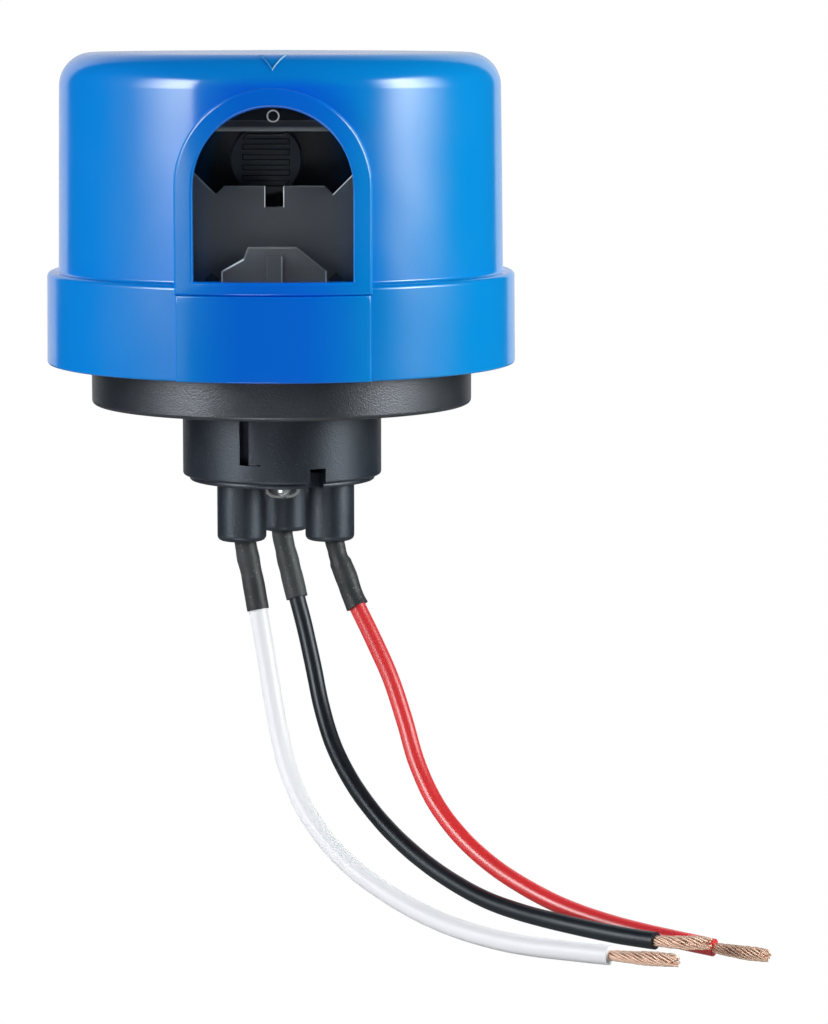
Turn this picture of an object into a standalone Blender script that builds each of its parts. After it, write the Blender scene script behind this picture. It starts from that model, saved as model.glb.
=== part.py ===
"""Photocell switch seated in its twist-lock receptacle, with three leads.

Metres, +Z up. The origin lies on the axis, in the plane of the flange's underside. The window looks
along -Y. The photocell turns about +Z in the receptacle: it is drawn locked, and a turn
counterclockwise, seen from above, brings its blades to the slots that let them out.
"""
import math

import bmesh
import bpy
import numpy as np
from mathutils import Matrix, Vector

# General
GAP = 0.0003
SEGMENTS = 60
FACET = 360 / SEGMENTS

# The sizes that lead the rest
SKIRT_RADIUS = 0.0400
DOME_HEIGHT = 0.0369
NECK_RADIUS = 0.01705
BLADE_REACH = 0.0175

# Receptacle: flange and neck
FLANGE_SETBACK = 0.0075
FLANGE_THICKNESS = 0.0074
FLANGE_EDGE = 0.0006
BLADE_PAST_NECK = 0.00514
NECK_EDGE = 0.0005
FACE_THICKNESS = 0.0030
NECK_WALL = 0.00215
GUIDE_RECESS_DEPTH = 0.0030

# Slot and notch in the neck, by their angle from the front
SIDE_SLOT_ANGLE = -20.0
SIDE_SLOT_WIDTH = 0.0015
SIDE_SLOT_LENGTH = 0.0092
SIDE_SLOT_DEPTH = 0.0018
SIDE_SLIT_LENGTH = 0.0035
SIDE_SLIT_HEIGHT = 0.0003
NOTCH_ANGLE = 22.7
NOTCH_WIDTH = 0.0024
NOTCH_HEIGHT = 0.0026
NOTCH_DEPTH = 0.0032

# Locking blades: arcs on one circle, each with a hook at its clockwise end
BLADE_SETBACK = 0.00555
BLADE_THICKNESS = 0.0016
BLADE_SPAN = 46.0
NEUTRAL_SPAN = 60.0
TWIST = 25.0
HOOK_CLEARANCE = 0.0004
BLADE_FOOT_THICKNESS = 0.0010
BLADE_FOOT_LENGTH = 0.0063
BLADE_FOOT_WIDTH = 0.0036
SLOT_CLEARANCE = 0.0004
SLOT_END_CLEARANCE = 2.0
CHAMBER_CLEARANCE = 0.0015
RIVET_SETBACK = 0.0039
RIVET_RADIUS = 0.0010
RIVET_HEAD_RADIUS = 0.0018
RIVET_HEAD_HEIGHT = 0.0008

# Spring contacts
CONTACT_THICKNESS = 0.0008
CONTACT_FLOOR_DROP = 0.0007
BARREL_RADIUS = 0.0013
BARREL_LENGTH = 0.0057

# Wire guide: stepped cover with three bosses
GUIDE_RIM_SETBACK = 0.00115
GUIDE_RIM_THICKNESS = 0.0006
GUIDE_SPIGOT_HEIGHT = 0.0019
BOSS_SETBACK = 0.00835
BOSS_CLOCKING = 3.0
BOSS_OFFSET = 0.0005
BOSS_RADIUS = 0.0042
BOSS_LENGTH = 0.0101
BOSS_EDGE = 0.0009
BOSS_WALL = 0.0013
GUIDE_SCREW_RADIUS = 0.00125
GUIDE_SCREW_LENGTH = 0.0105
GUIDE_SCREW_CLEARANCE = 0.0014
GUIDE_SCREW_HEAD_HEIGHT = 0.0031

# Leads
LEAD_RADII = {"white": 0.0016, "black": 0.00145, "red": 0.00145}
SLEEVE_RADIUS = 0.0019
COPPER_RADIUS = 0.0010
SLEEVE_LENGTH = 0.0213
BARE_LENGTHS = {"white": 0.0130, "black": 0.0105, "red": 0.0106}
CORD_FACET = 0.0055
ROUTE_STEPS = 24

# Photocell: gasket and base
GASKET_THICKNESS = 0.0019
GASKET_INNER_CLEARANCE = 0.0035
GASKET_SETBACK = 0.0015
BASE_THICKNESS = 0.0025
BASE_RIM_WIDTH = 0.0020
SNAP_HEIGHT = 0.0005
SNAP_RISE = 0.0052

# Housing: dome, ledge and skirt
SKIRT_OVERHANG = 0.00286
SKIRT_HEIGHT = 0.0156
SKIRT_DRAFT = 0.00015
SKIRT_WALL = 0.0025
LEDGE_EDGE = 0.0008
LEDGE_WIDTH = 0.0021
DOME_DRAFT = 0.0005
DOME_CORNER = 0.0055
DOME_CROWN = 0.0004
DOME_WALL = 0.0022

# Window: a pad with a round head, the opening in it and the panel below
ARCH_SHARE = 0.424
FRAME_SHARE = 0.401
FRAME_BORDER = 0.0031
SILL_RISE = 0.0006
FRAME_DROP = 0.0016
FRAME_PROUD = 0.0003
PANEL_PROUD = 0.0007
PANEL_SETBACK = 0.00025
PANE_THICKNESS = 0.0015
PANE_LAP = 0.0015
PANE_SETBACK = 0.0010
ARCH_STEPS = 20
WINDOW_FACETS = 10

# Circuit board and its posts
POST_SETBACK = 0.0045
POST_ANGLES = (90.0, 210.0, 330.0)
POST_RADIUS = 0.0030
POST_HEIGHT = 0.0039
BOARD_SETBACK = 0.0070
BOARD_THICKNESS = 0.0016
BOARD_SCREW_RADIUS = 0.0012
BOARD_SCREW_HEAD_RADIUS = 0.0026
BOARD_SCREW_HEAD_HEIGHT = 0.0016
BOARD_SCREW_LENGTH = 0.0042

# Parts on the board: place in plan as shares of the board's radius, and size
CASE_EDGE = 0.0004
RELAY_CORNER = (-0.106, 0.127)
RELAY_SIZE = (0.0190, 0.0155, 0.0155)
FILM_CORNER = (-0.530, -0.273)
FILM_SIZE = (0.0130, 0.0060, 0.0120)
CAN_PLACE = (0.485, -0.167)
CAN_RADIUS = 0.0040
CAN_HEIGHT = 0.0120
CAN_CRIMP = 0.0003
CAN_CRIMP_HEIGHT = 0.0015
DISC_PLACE = (-0.394, 0.303)
DISC_HEIGHT = 0.0075
DISC_RADIUS = 0.0052
DISC_THICKNESS = 0.0042
DISC_LEAD_SPACING = 0.0050
RESISTOR_PLACE = (-0.242, -0.455)
RESISTOR_RADIUS = 0.0022
RESISTOR_LENGTH = 0.0120
DIODE_ROW = -0.442
DIODE_SPACING = 0.0038
DIODE_RADIUS = 0.00135
DIODE_LENGTH = 0.0052

# Light sensor and what stands round it
SENSOR_RADIUS = 0.0059
SENSOR_THICKNESS = 0.0024
SENSOR_FACE_DEPTH = 0.0109
SENSOR_OFFSET = -0.0015
SENSOR_RISE = 0.0041
SENSOR_LEAD_RADIUS = 0.0004
SENSOR_LEAD_SPACING = 0.0034
HOOD_MARGIN = 0.00045
HOOD_WALL = 0.0012
HOOD_FRONT_DEPTH = 0.0053
HOOD_CLEARANCE = 0.0005
LIP_RISE = 0.00895
LIP_HEIGHT = 0.0062
LIP_BEAD = 0.0006
BAFFLE_DEPTH = 0.0059
BAFFLE_THICKNESS = 0.0014
BAFFLE_MARGIN = 0.00185
BAFFLE_SLOT_HALF_WIDTH = 0.00145
BAFFLE_SLOT_DEPTH = 0.0034
BAFFLE_NOTCH_PLACE = 0.00945
BAFFLE_NOTCH_DEPTH = 0.00135
BAFFLE_RISE = 0.0001
LATCH_DEPTH = 0.0033
LATCH_THICKNESS = 0.0011
LATCH_HALF_WIDTH = 0.0085
LATCH_SHOULDER_RISE = 0.0015
LATCH_TOP_RISE = 0.0052
LATCH_TOP_HALF_WIDTH = 0.0032
LATCH_FOOT_DEPTH = 0.0018

# Levels that follow from the sizes above
NECK_END = BLADE_PAST_NECK - BLADE_REACH
RECESS_CEILING = NECK_END + GUIDE_RECESS_DEPTH
CHAMBER_CEILING = FLANGE_THICKNESS - FACE_THICKNESS
GASKET_BOTTOM = FLANGE_THICKNESS + GAP
BASE_BOTTOM = GASKET_BOTTOM + GASKET_THICKNESS + GAP
BASE_TOP = BASE_BOTTOM + BASE_THICKNESS
SKIRT_BOTTOM = BASE_BOTTOM - SKIRT_OVERHANG
LEDGE_TOP = SKIRT_BOTTOM + SKIRT_HEIGHT
LEDGE_UNDERSIDE = LEDGE_TOP - DOME_WALL
DOME_TOP = LEDGE_TOP + DOME_HEIGHT
ARCH_CENTRE = LEDGE_TOP + ARCH_SHARE * DOME_HEIGHT
SILL = LEDGE_TOP + SILL_RISE
FRAME_BOTTOM = LEDGE_TOP - FRAME_DROP
BOARD_BOTTOM = BASE_TOP + POST_HEIGHT + GAP
BOARD_TOP = BOARD_BOTTOM + BOARD_THICKNESS
PARTS_LEVEL = BOARD_TOP + GAP
BLADE_TIP = BASE_BOTTOM - BLADE_REACH
BLADE_FOOT_BOTTOM = BASE_TOP + GAP
CONTACT_FLOOR = BLADE_TIP - CONTACT_FLOOR_DROP
GUIDE_RIM_TOP = NECK_END - GAP
GUIDE_RIM_BOTTOM = GUIDE_RIM_TOP - GUIDE_RIM_THICKNESS
BOSS_END = GUIDE_RIM_BOTTOM - BOSS_LENGTH

# Radii and widths that follow
FLANGE_RADIUS = SKIRT_RADIUS - FLANGE_SETBACK
GUIDE_RECESS_RADIUS = NECK_RADIUS - NECK_WALL
GUIDE_RIM_RADIUS = NECK_RADIUS - GUIDE_RIM_SETBACK
BOSS_CIRCLE = NECK_RADIUS - BOSS_SETBACK
GUIDE_SCREW_HEAD_RADIUS = BOSS_CIRCLE - BOSS_RADIUS - GUIDE_SCREW_CLEARANCE
DOME_RADIUS = SKIRT_RADIUS - LEDGE_WIDTH
PANE_FACE_RADIUS = DOME_RADIUS - PANE_SETBACK
BOARD_RADIUS = SKIRT_RADIUS - BOARD_SETBACK
POST_CIRCLE = BOARD_RADIUS - POST_SETBACK
FRAME_HALF_WIDTH = FRAME_SHARE * SKIRT_RADIUS
OPENING_HALF_WIDTH = FRAME_HALF_WIDTH - FRAME_BORDER
PANEL_HALF_WIDTH = FRAME_HALF_WIDTH - PANEL_SETBACK
HOOD_HALF_WIDTH = OPENING_HALF_WIDTH + HOOD_MARGIN
BAFFLE_HALF_WIDTH = OPENING_HALF_WIDTH + BAFFLE_MARGIN
SKIRT_INNER = SKIRT_RADIUS - SKIRT_WALL
DOME_INNER = DOME_RADIUS - DOME_WALL
BASE_RADIUS = SKIRT_INNER - GAP
BASE_RIM_INNER = BASE_RADIUS - BASE_RIM_WIDTH
FRAME_FACE = SKIRT_RADIUS + FRAME_PROUD
PANEL_FACE = SKIRT_RADIUS + PANEL_PROUD
REBATE_RADIUS = PANE_FACE_RADIUS + GAP
BLADE_CIRCLE = NECK_RADIUS - BLADE_SETBACK
BLADE_FOOT_INNER = BLADE_CIRCLE - BLADE_FOOT_LENGTH
RIVET_CIRCLE = BLADE_CIRCLE - RIVET_SETBACK
BLADE_INNER = BLADE_CIRCLE - BLADE_THICKNESS / 2
BLADE_OUTER = BLADE_CIRCLE + BLADE_THICKNESS / 2
CHAMBER_INNER = BLADE_INNER - CHAMBER_CLEARANCE
CHAMBER_OUTER = BLADE_OUTER + CHAMBER_CLEARANCE
GASKET_INNER_RADIUS = BLADE_OUTER + GASKET_INNER_CLEARANCE
GASKET_OUTER_RADIUS = FLANGE_RADIUS - GASKET_SETBACK

# Each pole: its name, the angle of its boss and the span of its blade
POLES = (
    ("line", 90.0 + BOSS_CLOCKING, BLADE_SPAN),
    ("load", 330.0 + BOSS_CLOCKING, BLADE_SPAN),
    ("neutral", 210.0 + BOSS_CLOCKING, NEUTRAL_SPAN),
)
BOSS_ANGLES = {pole: angle for pole, angle, _ in POLES}
LEAD_POLES = {"white": "neutral", "black": "line", "red": "load"}

# Each lead's route from inside its boss to its bare tip, as steps from the middle of the boss's mouth
LEAD_ROUTES = {
    "white": (
        (0.0003, 0.0000, 0.0048), (0.0005, -0.0001, 0.0006), (0.0009, -0.0002, -0.0023),
        (0.0018, -0.0007, -0.0065), (0.0027, -0.0015, -0.0115), (0.0037, -0.0028, -0.0169),
        (0.0049, -0.0047, -0.0239), (0.0062, -0.0071, -0.0308), (0.0079, -0.0101, -0.0374),
        (0.0106, -0.0140, -0.0431), (0.0143, -0.0182, -0.0479), (0.0189, -0.0225, -0.0519),
        (0.0241, -0.0268, -0.0549), (0.0296, -0.0313, -0.0572), (0.0352, -0.0359, -0.0587),
        (0.0408, -0.0407, -0.0594), (0.0466, -0.0453, -0.0596), (0.0525, -0.0497, -0.0593),
        (0.0586, -0.0540, -0.0589), (0.0646, -0.0583, -0.0584), (0.0711, -0.0632, -0.0576),
    ),
    "black": (
        (-0.0002, -0.0002, 0.0048), (-0.0004, -0.0004, 0.0002), (-0.0003, -0.0005, -0.0013),
        (0.0005, -0.0011, -0.0048), (0.0014, -0.0018, -0.0084), (0.0023, -0.0027, -0.0120),
        (0.0035, -0.0039, -0.0164), (0.0051, -0.0061, -0.0232), (0.0066, -0.0088, -0.0299),
        (0.0087, -0.0122, -0.0360), (0.0118, -0.0161, -0.0414), (0.0156, -0.0205, -0.0459),
        (0.0199, -0.0250, -0.0497), (0.0246, -0.0297, -0.0528), (0.0296, -0.0345, -0.0552),
        (0.0348, -0.0394, -0.0569), (0.0403, -0.0442, -0.0578), (0.0459, -0.0489, -0.0582),
        (0.0517, -0.0533, -0.0585), (0.0576, -0.0577, -0.0586), (0.0635, -0.0621, -0.0583),
        (0.0702, -0.0665, -0.0574),
    ),
    "red": (
        (0.0004, -0.0002, 0.0048), (0.0007, -0.0004, 0.0004), (0.0011, -0.0006, -0.0013),
        (0.0015, -0.0008, -0.0030), (0.0029, -0.0015, -0.0065), (0.0042, -0.0022, -0.0101),
        (0.0073, -0.0042, -0.0163), (0.0104, -0.0065, -0.0229), (0.0128, -0.0090, -0.0298),
        (0.0149, -0.0118, -0.0366), (0.0180, -0.0151, -0.0428), (0.0223, -0.0187, -0.0479),
        (0.0275, -0.0227, -0.0519), (0.0332, -0.0270, -0.0548), (0.0391, -0.0313, -0.0569),
        (0.0453, -0.0357, -0.0582), (0.0516, -0.0399, -0.0590), (0.0582, -0.0438, -0.0596),
        (0.0647, -0.0479, -0.0600), (0.0716, -0.0527, -0.0598),
    ),
}


# Materials
def paint(name, colour, roughness, metallic=0.0, transmission=0.0):
    """A Principled material in one colour."""
    material = bpy.data.materials.new(name)
    material.use_nodes = True
    shader = material.node_tree.nodes["Principled BSDF"]
    shader.inputs["Base Color"].default_value = (*colour, 1.0)
    shader.inputs["Roughness"].default_value = roughness
    shader.inputs["Metallic"].default_value = metallic
    shader.inputs["Transmission Weight"].default_value = transmission
    material.diffuse_color = (*colour, 1.0)
    return material


# Making solids
def solid(name, bm, material=None):
    """Turn a bmesh into an object with outward faces and smooth round sides."""
    bmesh.ops.remove_doubles(bm, verts=bm.verts[:], dist=1e-7)
    bmesh.ops.recalc_face_normals(bm, faces=bm.faces[:])
    mesh = bpy.data.meshes.new(name)
    bm.to_mesh(mesh)
    bm.free()
    mesh.shade_smooth()
    mesh.set_sharp_from_angle(angle=math.radians(30))
    if material:
        mesh.materials.append(material)
    piece = bpy.data.objects.new(name, mesh)
    bpy.context.collection.objects.link(piece)
    return piece


def add_turned(bm, outline, place=Matrix(), ring=False, segments=SEGMENTS):
    """Spin an outline of (radius, height) points about Z, then put it in place."""
    part = bmesh.new()
    verts = [part.verts.new((radius, 0.0, height)) for radius, height in outline]
    for first, second in zip(verts, verts[1:]):
        part.edges.new((first, second))
    if ring:
        part.edges.new((verts[-1], verts[0]))
    bmesh.ops.spin(
        part, geom=part.verts[:] + part.edges[:], cent=(0, 0, 0), axis=(0, 0, 1),
        angle=math.tau, steps=segments, use_merge=True,
    )
    bmesh.ops.remove_doubles(part, verts=part.verts[:], dist=1e-7)
    bmesh.ops.transform(part, matrix=place, verts=part.verts[:])
    add(bm, part)


def add_arc(bm, outline, centre, span, step=FACET):
    """Spin a closed outline of (radius, height) points through a span of degrees."""
    part = bmesh.new()
    part.faces.new([part.verts.new((radius, 0.0, height)) for radius, height in outline])
    bmesh.ops.rotate(
        part, verts=part.verts[:], cent=(0, 0, 0),
        matrix=Matrix.Rotation(math.radians(centre - span / 2), 3, "Z"),
    )
    bmesh.ops.spin(
        part, geom=part.verts[:] + part.edges[:] + part.faces[:], cent=(0, 0, 0), axis=(0, 0, 1),
        angle=math.radians(span), steps=max(1, round(span / step)),
    )
    add(bm, part)


def add_prism(bm, outline, near, far, place=Matrix()):
    """Extrude an outline of (x, z) points along Y, from near to far."""
    part = bmesh.new()
    face = part.faces.new([part.verts.new((x, near, z)) for x, z in outline])
    grown = bmesh.ops.extrude_face_region(part, geom=[face], use_keep_orig=True)
    moved = [item for item in grown["geom"] if isinstance(item, bmesh.types.BMVert)]
    bmesh.ops.translate(part, verts=moved, vec=(0, far - near, 0))
    bmesh.ops.transform(part, matrix=place, verts=part.verts[:])
    add(bm, part)


def add_block(bm, low, high, edge=0.0):
    """A box between two corners, with its edges rounded off by a small chamfer."""
    part = bmesh.new()
    size = Vector(high) - Vector(low)
    middle = (Vector(high) + Vector(low)) / 2
    place = Matrix.Translation(middle) @ Matrix.Diagonal(size).to_4x4()
    bmesh.ops.create_cube(part, size=1.0, matrix=place)
    if edge:
        bmesh.ops.bevel(
            part, geom=part.edges[:], offset=edge, segments=1, profile=0.5, affect="EDGES",
            material=-1,
        )
    add(bm, part)


def add(bm, part):
    """Join one bmesh to another as a separate body."""
    bmesh.ops.recalc_face_normals(part, faces=part.faces[:])
    mesh = bpy.data.meshes.new("part")
    part.to_mesh(mesh)
    part.free()
    bm.from_mesh(mesh)
    bpy.data.meshes.remove(mesh)


def box_outline(low_radius, high_radius, low, high):
    """The four corners of a ring's section."""
    return [(low_radius, low), (high_radius, low), (high_radius, high), (low_radius, high)]


def arc_points(centre, radius, start, end, steps):
    """Points on an arc, by angles in degrees."""
    angles = np.radians(np.linspace(start, end, steps + 1))
    return [(centre[0] + radius * math.cos(a), centre[1] + radius * math.sin(a)) for a in angles]


def combine(piece, other, operation):
    """Leave a Boolean on a piece, with the other body hidden."""
    modifier = piece.modifiers.new(other.name, "BOOLEAN")
    modifier.operation = operation
    modifier.solver = "EXACT"
    modifier.object = other
    other.hide_render = True
    other.display_type = "WIRE"
    return piece


def tool(name, *shapes):
    """A hidden tool made of separate bodies."""
    bm = bmesh.new()
    for shape, arguments in shapes:
        shape(bm, **arguments)
    return solid(name, bm)


def turn(angle):
    """A turn about the main axis, in degrees."""
    return Matrix.Rotation(math.radians(angle), 4, "Z")


def on_circle(radius, angle, height=0.0):
    """A place on a circle round the main axis."""
    return Matrix.Translation(
        (radius * math.cos(math.radians(angle)), radius * math.sin(math.radians(angle)), height)
    )


def rod(radius, low, high):
    """The outline of a plain cylinder."""
    return [(0.0, high), (radius, high), (radius, low), (0.0, low)]


# Receptacle
def blade_angles(boss_angle, span):
    """The middle of a locked blade, and the middle and span of its chamber."""
    blade_centre = boss_angle - TWIST / 2
    return blade_centre, boss_angle, span + TWIST + 2 * SLOT_END_CLEARANCE


def receptacle_body(material):
    """Flange and neck turned as one, then cut for the blades, the contacts and the wire guide."""
    screw_hole = GUIDE_SCREW_RADIUS + GAP
    screw_hole_end = GUIDE_RIM_BOTTOM + GUIDE_SCREW_LENGTH + GAP
    bm = bmesh.new()
    add_turned(bm, [
        (0.0, FLANGE_THICKNESS),
        (FLANGE_RADIUS - FLANGE_EDGE, FLANGE_THICKNESS),
        (FLANGE_RADIUS, FLANGE_THICKNESS - FLANGE_EDGE),
        (FLANGE_RADIUS, FLANGE_EDGE),
        (FLANGE_RADIUS - FLANGE_EDGE, 0.0),
        (NECK_RADIUS, 0.0),
        (NECK_RADIUS, NECK_END + NECK_EDGE),
        (NECK_RADIUS - NECK_EDGE, NECK_END),
        (GUIDE_RECESS_RADIUS, NECK_END),
        (GUIDE_RECESS_RADIUS, RECESS_CEILING),
        (screw_hole, RECESS_CEILING),
        (screw_hole, screw_hole_end),
        (0.0, screw_hole_end),
    ])
    body = solid("receptacle_body", bm, material)

    slots = bmesh.new()
    chambers = bmesh.new()
    pockets = bmesh.new()
    for _, boss_angle, span in POLES:
        blade_centre, chamber_centre, chamber_span = blade_angles(boss_angle, span)
        add_arc(
            slots,
            box_outline(
                BLADE_INNER - SLOT_CLEARANCE, BLADE_OUTER + SLOT_CLEARANCE,
                CHAMBER_CEILING - FACE_THICKNESS / 2, FLANGE_THICKNESS + FACE_THICKNESS / 2,
            ),
            blade_centre + TWIST, span + 2 * SLOT_END_CLEARANCE,
        )
        add_arc(
            chambers,
            box_outline(
                CHAMBER_INNER, CHAMBER_OUTER, RECESS_CEILING - GUIDE_RECESS_DEPTH / 2, CHAMBER_CEILING
            ),
            chamber_centre, chamber_span,
        )
        add_turned(
            pockets,
            rod(
                BARREL_RADIUS + GAP, RECESS_CEILING - GUIDE_RECESS_DEPTH / 2,
                CONTACT_FLOOR + GAP,
            ),
            on_circle(BOSS_CIRCLE, boss_angle), segments=16,
        )
    combine(body, solid("blade_slots", slots), "DIFFERENCE")
    combine(body, solid("contact_chambers", chambers), "DIFFERENCE")
    combine(body, solid("barrel_pockets", pockets), "DIFFERENCE")

    slot_right = SIDE_SLOT_WIDTH / 2
    slit_end = slot_right + SIDE_SLIT_LENGTH
    slit_top = SIDE_SLIT_HEIGHT - SIDE_SLOT_LENGTH
    side_slot = [
        (-slot_right, 0.0), (-slot_right, -SIDE_SLOT_LENGTH), (slit_end, -SIDE_SLOT_LENGTH),
        (slit_end, slit_top), (slot_right, slit_top), (slot_right, 0.0),
    ]
    notch = [
        (-NOTCH_WIDTH / 2, NECK_END - GAP), (NOTCH_WIDTH / 2, NECK_END - GAP),
        (NOTCH_WIDTH / 2, NECK_END + NOTCH_HEIGHT), (-NOTCH_WIDTH / 2, NECK_END + NOTCH_HEIGHT),
    ]
    cuts = bmesh.new()
    outside = -NECK_RADIUS - GAP
    add_prism(cuts, side_slot, SIDE_SLOT_DEPTH - NECK_RADIUS, outside, turn(SIDE_SLOT_ANGLE))
    add_prism(cuts, notch, NOTCH_DEPTH - NECK_RADIUS, outside, turn(NOTCH_ANGLE))
    return combine(body, solid("neck_cuts", cuts), "DIFFERENCE")


def contact(name, boss_angle, span, material):
    """A channel of spring brass round the blade's path, with a barrel for the wire."""
    _, centre, chamber_span = blade_angles(boss_angle, span)
    inner = CHAMBER_INNER + GAP
    outer = CHAMBER_OUTER - GAP
    top = CHAMBER_CEILING - HOOK_CLEARANCE
    floor = CONTACT_FLOOR
    wall = CONTACT_THICKNESS
    channel = [
        (inner, top), (inner, floor - wall), (outer, floor - wall), (outer, top),
        (outer - wall, top), (outer - wall, floor), (inner + wall, floor), (inner + wall, top),
    ]
    bm = bmesh.new()
    add_arc(bm, channel, centre, chamber_span - SLOT_END_CLEARANCE)
    piece = solid(name, bm, material)
    barrel = tool(name + "_barrel", (add_turned, dict(
        outline=rod(BARREL_RADIUS, floor - BARREL_LENGTH, floor - wall / 2),
        place=on_circle(BOSS_CIRCLE, boss_angle), segments=16,
    )))
    return combine(piece, barrel, "UNION")


def boss_place(boss_angle, height=0.0):
    """The middle of a boss: the three sit on one circle, a little right of the main axis."""
    return Matrix.Translation((BOSS_OFFSET, 0, 0)) @ on_circle(BOSS_CIRCLE, boss_angle, height)


def wire_guide(material):
    """Stepped round cover under the neck, with three hollow bosses for the leads."""
    screw_hole = GUIDE_SCREW_RADIUS + GAP
    spigot = GUIDE_RECESS_RADIUS - GAP
    spigot_top = GUIDE_RIM_TOP + GUIDE_SPIGOT_HEIGHT
    bm = bmesh.new()
    add_turned(bm, [
        (screw_hole, spigot_top), (spigot, spigot_top), (spigot, GUIDE_RIM_TOP),
        (GUIDE_RIM_RADIUS, GUIDE_RIM_TOP), (GUIDE_RIM_RADIUS, GUIDE_RIM_BOTTOM),
        (screw_hole, GUIDE_RIM_BOTTOM),
    ], ring=True)
    piece = solid("wire_guide", bm, material)

    bosses = bmesh.new()
    bores = bmesh.new()
    fillet = arc_points((BOSS_RADIUS - BOSS_EDGE, BOSS_END + BOSS_EDGE), BOSS_EDGE, 0, -90, 2)
    middle = (GUIDE_RIM_TOP + GUIDE_RIM_BOTTOM) / 2
    for _, boss_angle, _ in POLES:
        place = boss_place(boss_angle)
        boss = [(0.0, middle), (BOSS_RADIUS, middle), *fillet, (0.0, BOSS_END)]
        bore = rod(BOSS_RADIUS - BOSS_WALL, BOSS_END - BOSS_EDGE, spigot_top + BOSS_EDGE)
        add_turned(bosses, boss, place, segments=24)
        add_turned(bores, bore, place, segments=16)
    combine(piece, solid("guide_bosses", bosses), "UNION")
    combine(piece, solid("guide_bores", bores), "DIFFERENCE")
    notch = [
        (-NOTCH_WIDTH / 2, GUIDE_RIM_BOTTOM - GAP), (NOTCH_WIDTH / 2, GUIDE_RIM_BOTTOM - GAP),
        (NOTCH_WIDTH / 2, spigot_top + GAP), (-NOTCH_WIDTH / 2, spigot_top + GAP),
    ]
    cut = tool("guide_notch", (add_prism, dict(
        outline=notch, near=NOTCH_DEPTH - NECK_RADIUS, far=-NECK_RADIUS, place=turn(NOTCH_ANGLE),
    )))
    return combine(piece, cut, "DIFFERENCE")


def pan_screw(bm, place, shank_radius, shank_length, head_radius, head_height, segments=20):
    """A pan-head screw that points along +Z from its seat at the origin, its head below."""
    rounding = head_height * 0.6
    crown = arc_points((head_radius - rounding, -head_height + rounding), rounding, 0, -90, 3)
    add_turned(bm, [
        (0.0, shank_length), (shank_radius, shank_length), (shank_radius, 0.0), (head_radius, 0.0),
        *crown, (0.0, -head_height),
    ], place, segments=segments)


def guide_screw(material):
    """The screw that holds the wire guide under the neck."""
    bm = bmesh.new()
    pan_screw(
        bm, Matrix.Translation((0, 0, GUIDE_RIM_BOTTOM - GAP)), GUIDE_SCREW_RADIUS, GUIDE_SCREW_LENGTH,
        GUIDE_SCREW_HEAD_RADIUS, GUIDE_SCREW_HEAD_HEIGHT,
    )
    return solid("guide_screw", bm, material)


# Leads
def lead_route(colour):
    """A lead's points in the model's frame, from its contact's barrel to the tip of its strands."""
    boss_angle = BOSS_ANGLES[LEAD_POLES[colour]]
    start = on_circle(BOSS_CIRCLE, boss_angle, CONTACT_FLOOR - BARREL_LENGTH - GAP).translation
    mouth = boss_place(boss_angle, BOSS_END).translation
    return [start, *(mouth + Vector(step) for step in LEAD_ROUTES[colour])]


def smooth_points(route):
    """Close points on the Catmull-Rom curve through a route, and their distances along it."""
    knots = np.array([route[0], *route, route[-1]])
    fine = []
    for before, start, end, after in zip(knots, knots[1:], knots[2:], knots[3:]):
        for t in np.linspace(0.0, 1.0, ROUTE_STEPS, endpoint=False):
            fine.append(0.5 * (
                2 * start + (end - before) * t + (2 * before - 5 * start + 4 * end - after) * t ** 2
                + (3 * start - before - 3 * end + after) * t ** 3
            ))
    fine.append(knots[-1])
    fine = np.array(fine)
    distance = np.concatenate([[0.0], np.cumsum(np.linalg.norm(np.diff(fine, axis=0), axis=1))])
    return fine, distance


def cord(name, route, start, end, radius, material):
    """A tube along a stretch of a route, given by its distances from the route's start."""
    fine, distance = smooth_points(route)
    end = distance[-1] if end is None else end
    count = max(4, round((end - start) / CORD_FACET) + 1)
    stations = np.linspace(start, end, count)
    points = np.column_stack([np.interp(stations, distance, fine[:, axis]) for axis in range(3)])
    curve = bpy.data.curves.new(name, "CURVE")
    curve.dimensions = "3D"
    curve.bevel_depth = radius
    curve.bevel_resolution = 2
    curve.use_fill_caps = True
    spline = curve.splines.new("POLY")
    spline.points.add(count - 1)
    for point, place in zip(spline.points, points):
        point.co = (*place, 1.0)
    curve.materials.append(material)
    piece = bpy.data.objects.new(name, curve)
    bpy.context.collection.objects.link(piece)
    return piece


def leads(sleeve_material, lead_materials, copper_material):
    """Sleeve, insulation and bare strands of each lead, end to end along one route."""
    pieces = []
    for colour in LEAD_ROUTES:
        route = lead_route(colour)
        _, distance = smooth_points(route)
        bare_start = distance[-1] - BARE_LENGTHS[colour]
        pieces.append(cord("sleeve_" + colour, route, 0.0, SLEEVE_LENGTH, SLEEVE_RADIUS, sleeve_material))
        pieces.append(cord(
            "lead_" + colour, route, SLEEVE_LENGTH + GAP, bare_start - GAP, LEAD_RADII[colour],
            lead_materials[colour],
        ))
        pieces.append(cord("copper_" + colour, route, bare_start, None, COPPER_RADIUS, copper_material))
    return pieces


# Photocell: housing and window
def arch_outline(half_width, low):
    """The window's outline: straight sides under a half circle."""
    head = arc_points((0.0, ARCH_CENTRE), half_width, 0, 180, ARCH_STEPS)
    return [(half_width, low), *head, (-half_width, low)]


def front_ring(name, inner, outer, low, high):
    """A sector of a ring at the front, in step with the housing's facets."""
    bm = bmesh.new()
    add_arc(bm, box_outline(inner, outer, low, high), 270.0, WINDOW_FACETS * FACET)
    return solid(name, bm)


def arch_tool(name, half_width, low):
    """A prism with the window's outline, through the front wall."""
    return tool(name, (add_prism, dict(
        outline=arch_outline(half_width, low), near=-PANEL_FACE - DOME_WALL,
        far=-DOME_INNER + DOME_CORNER,
    )))


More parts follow.
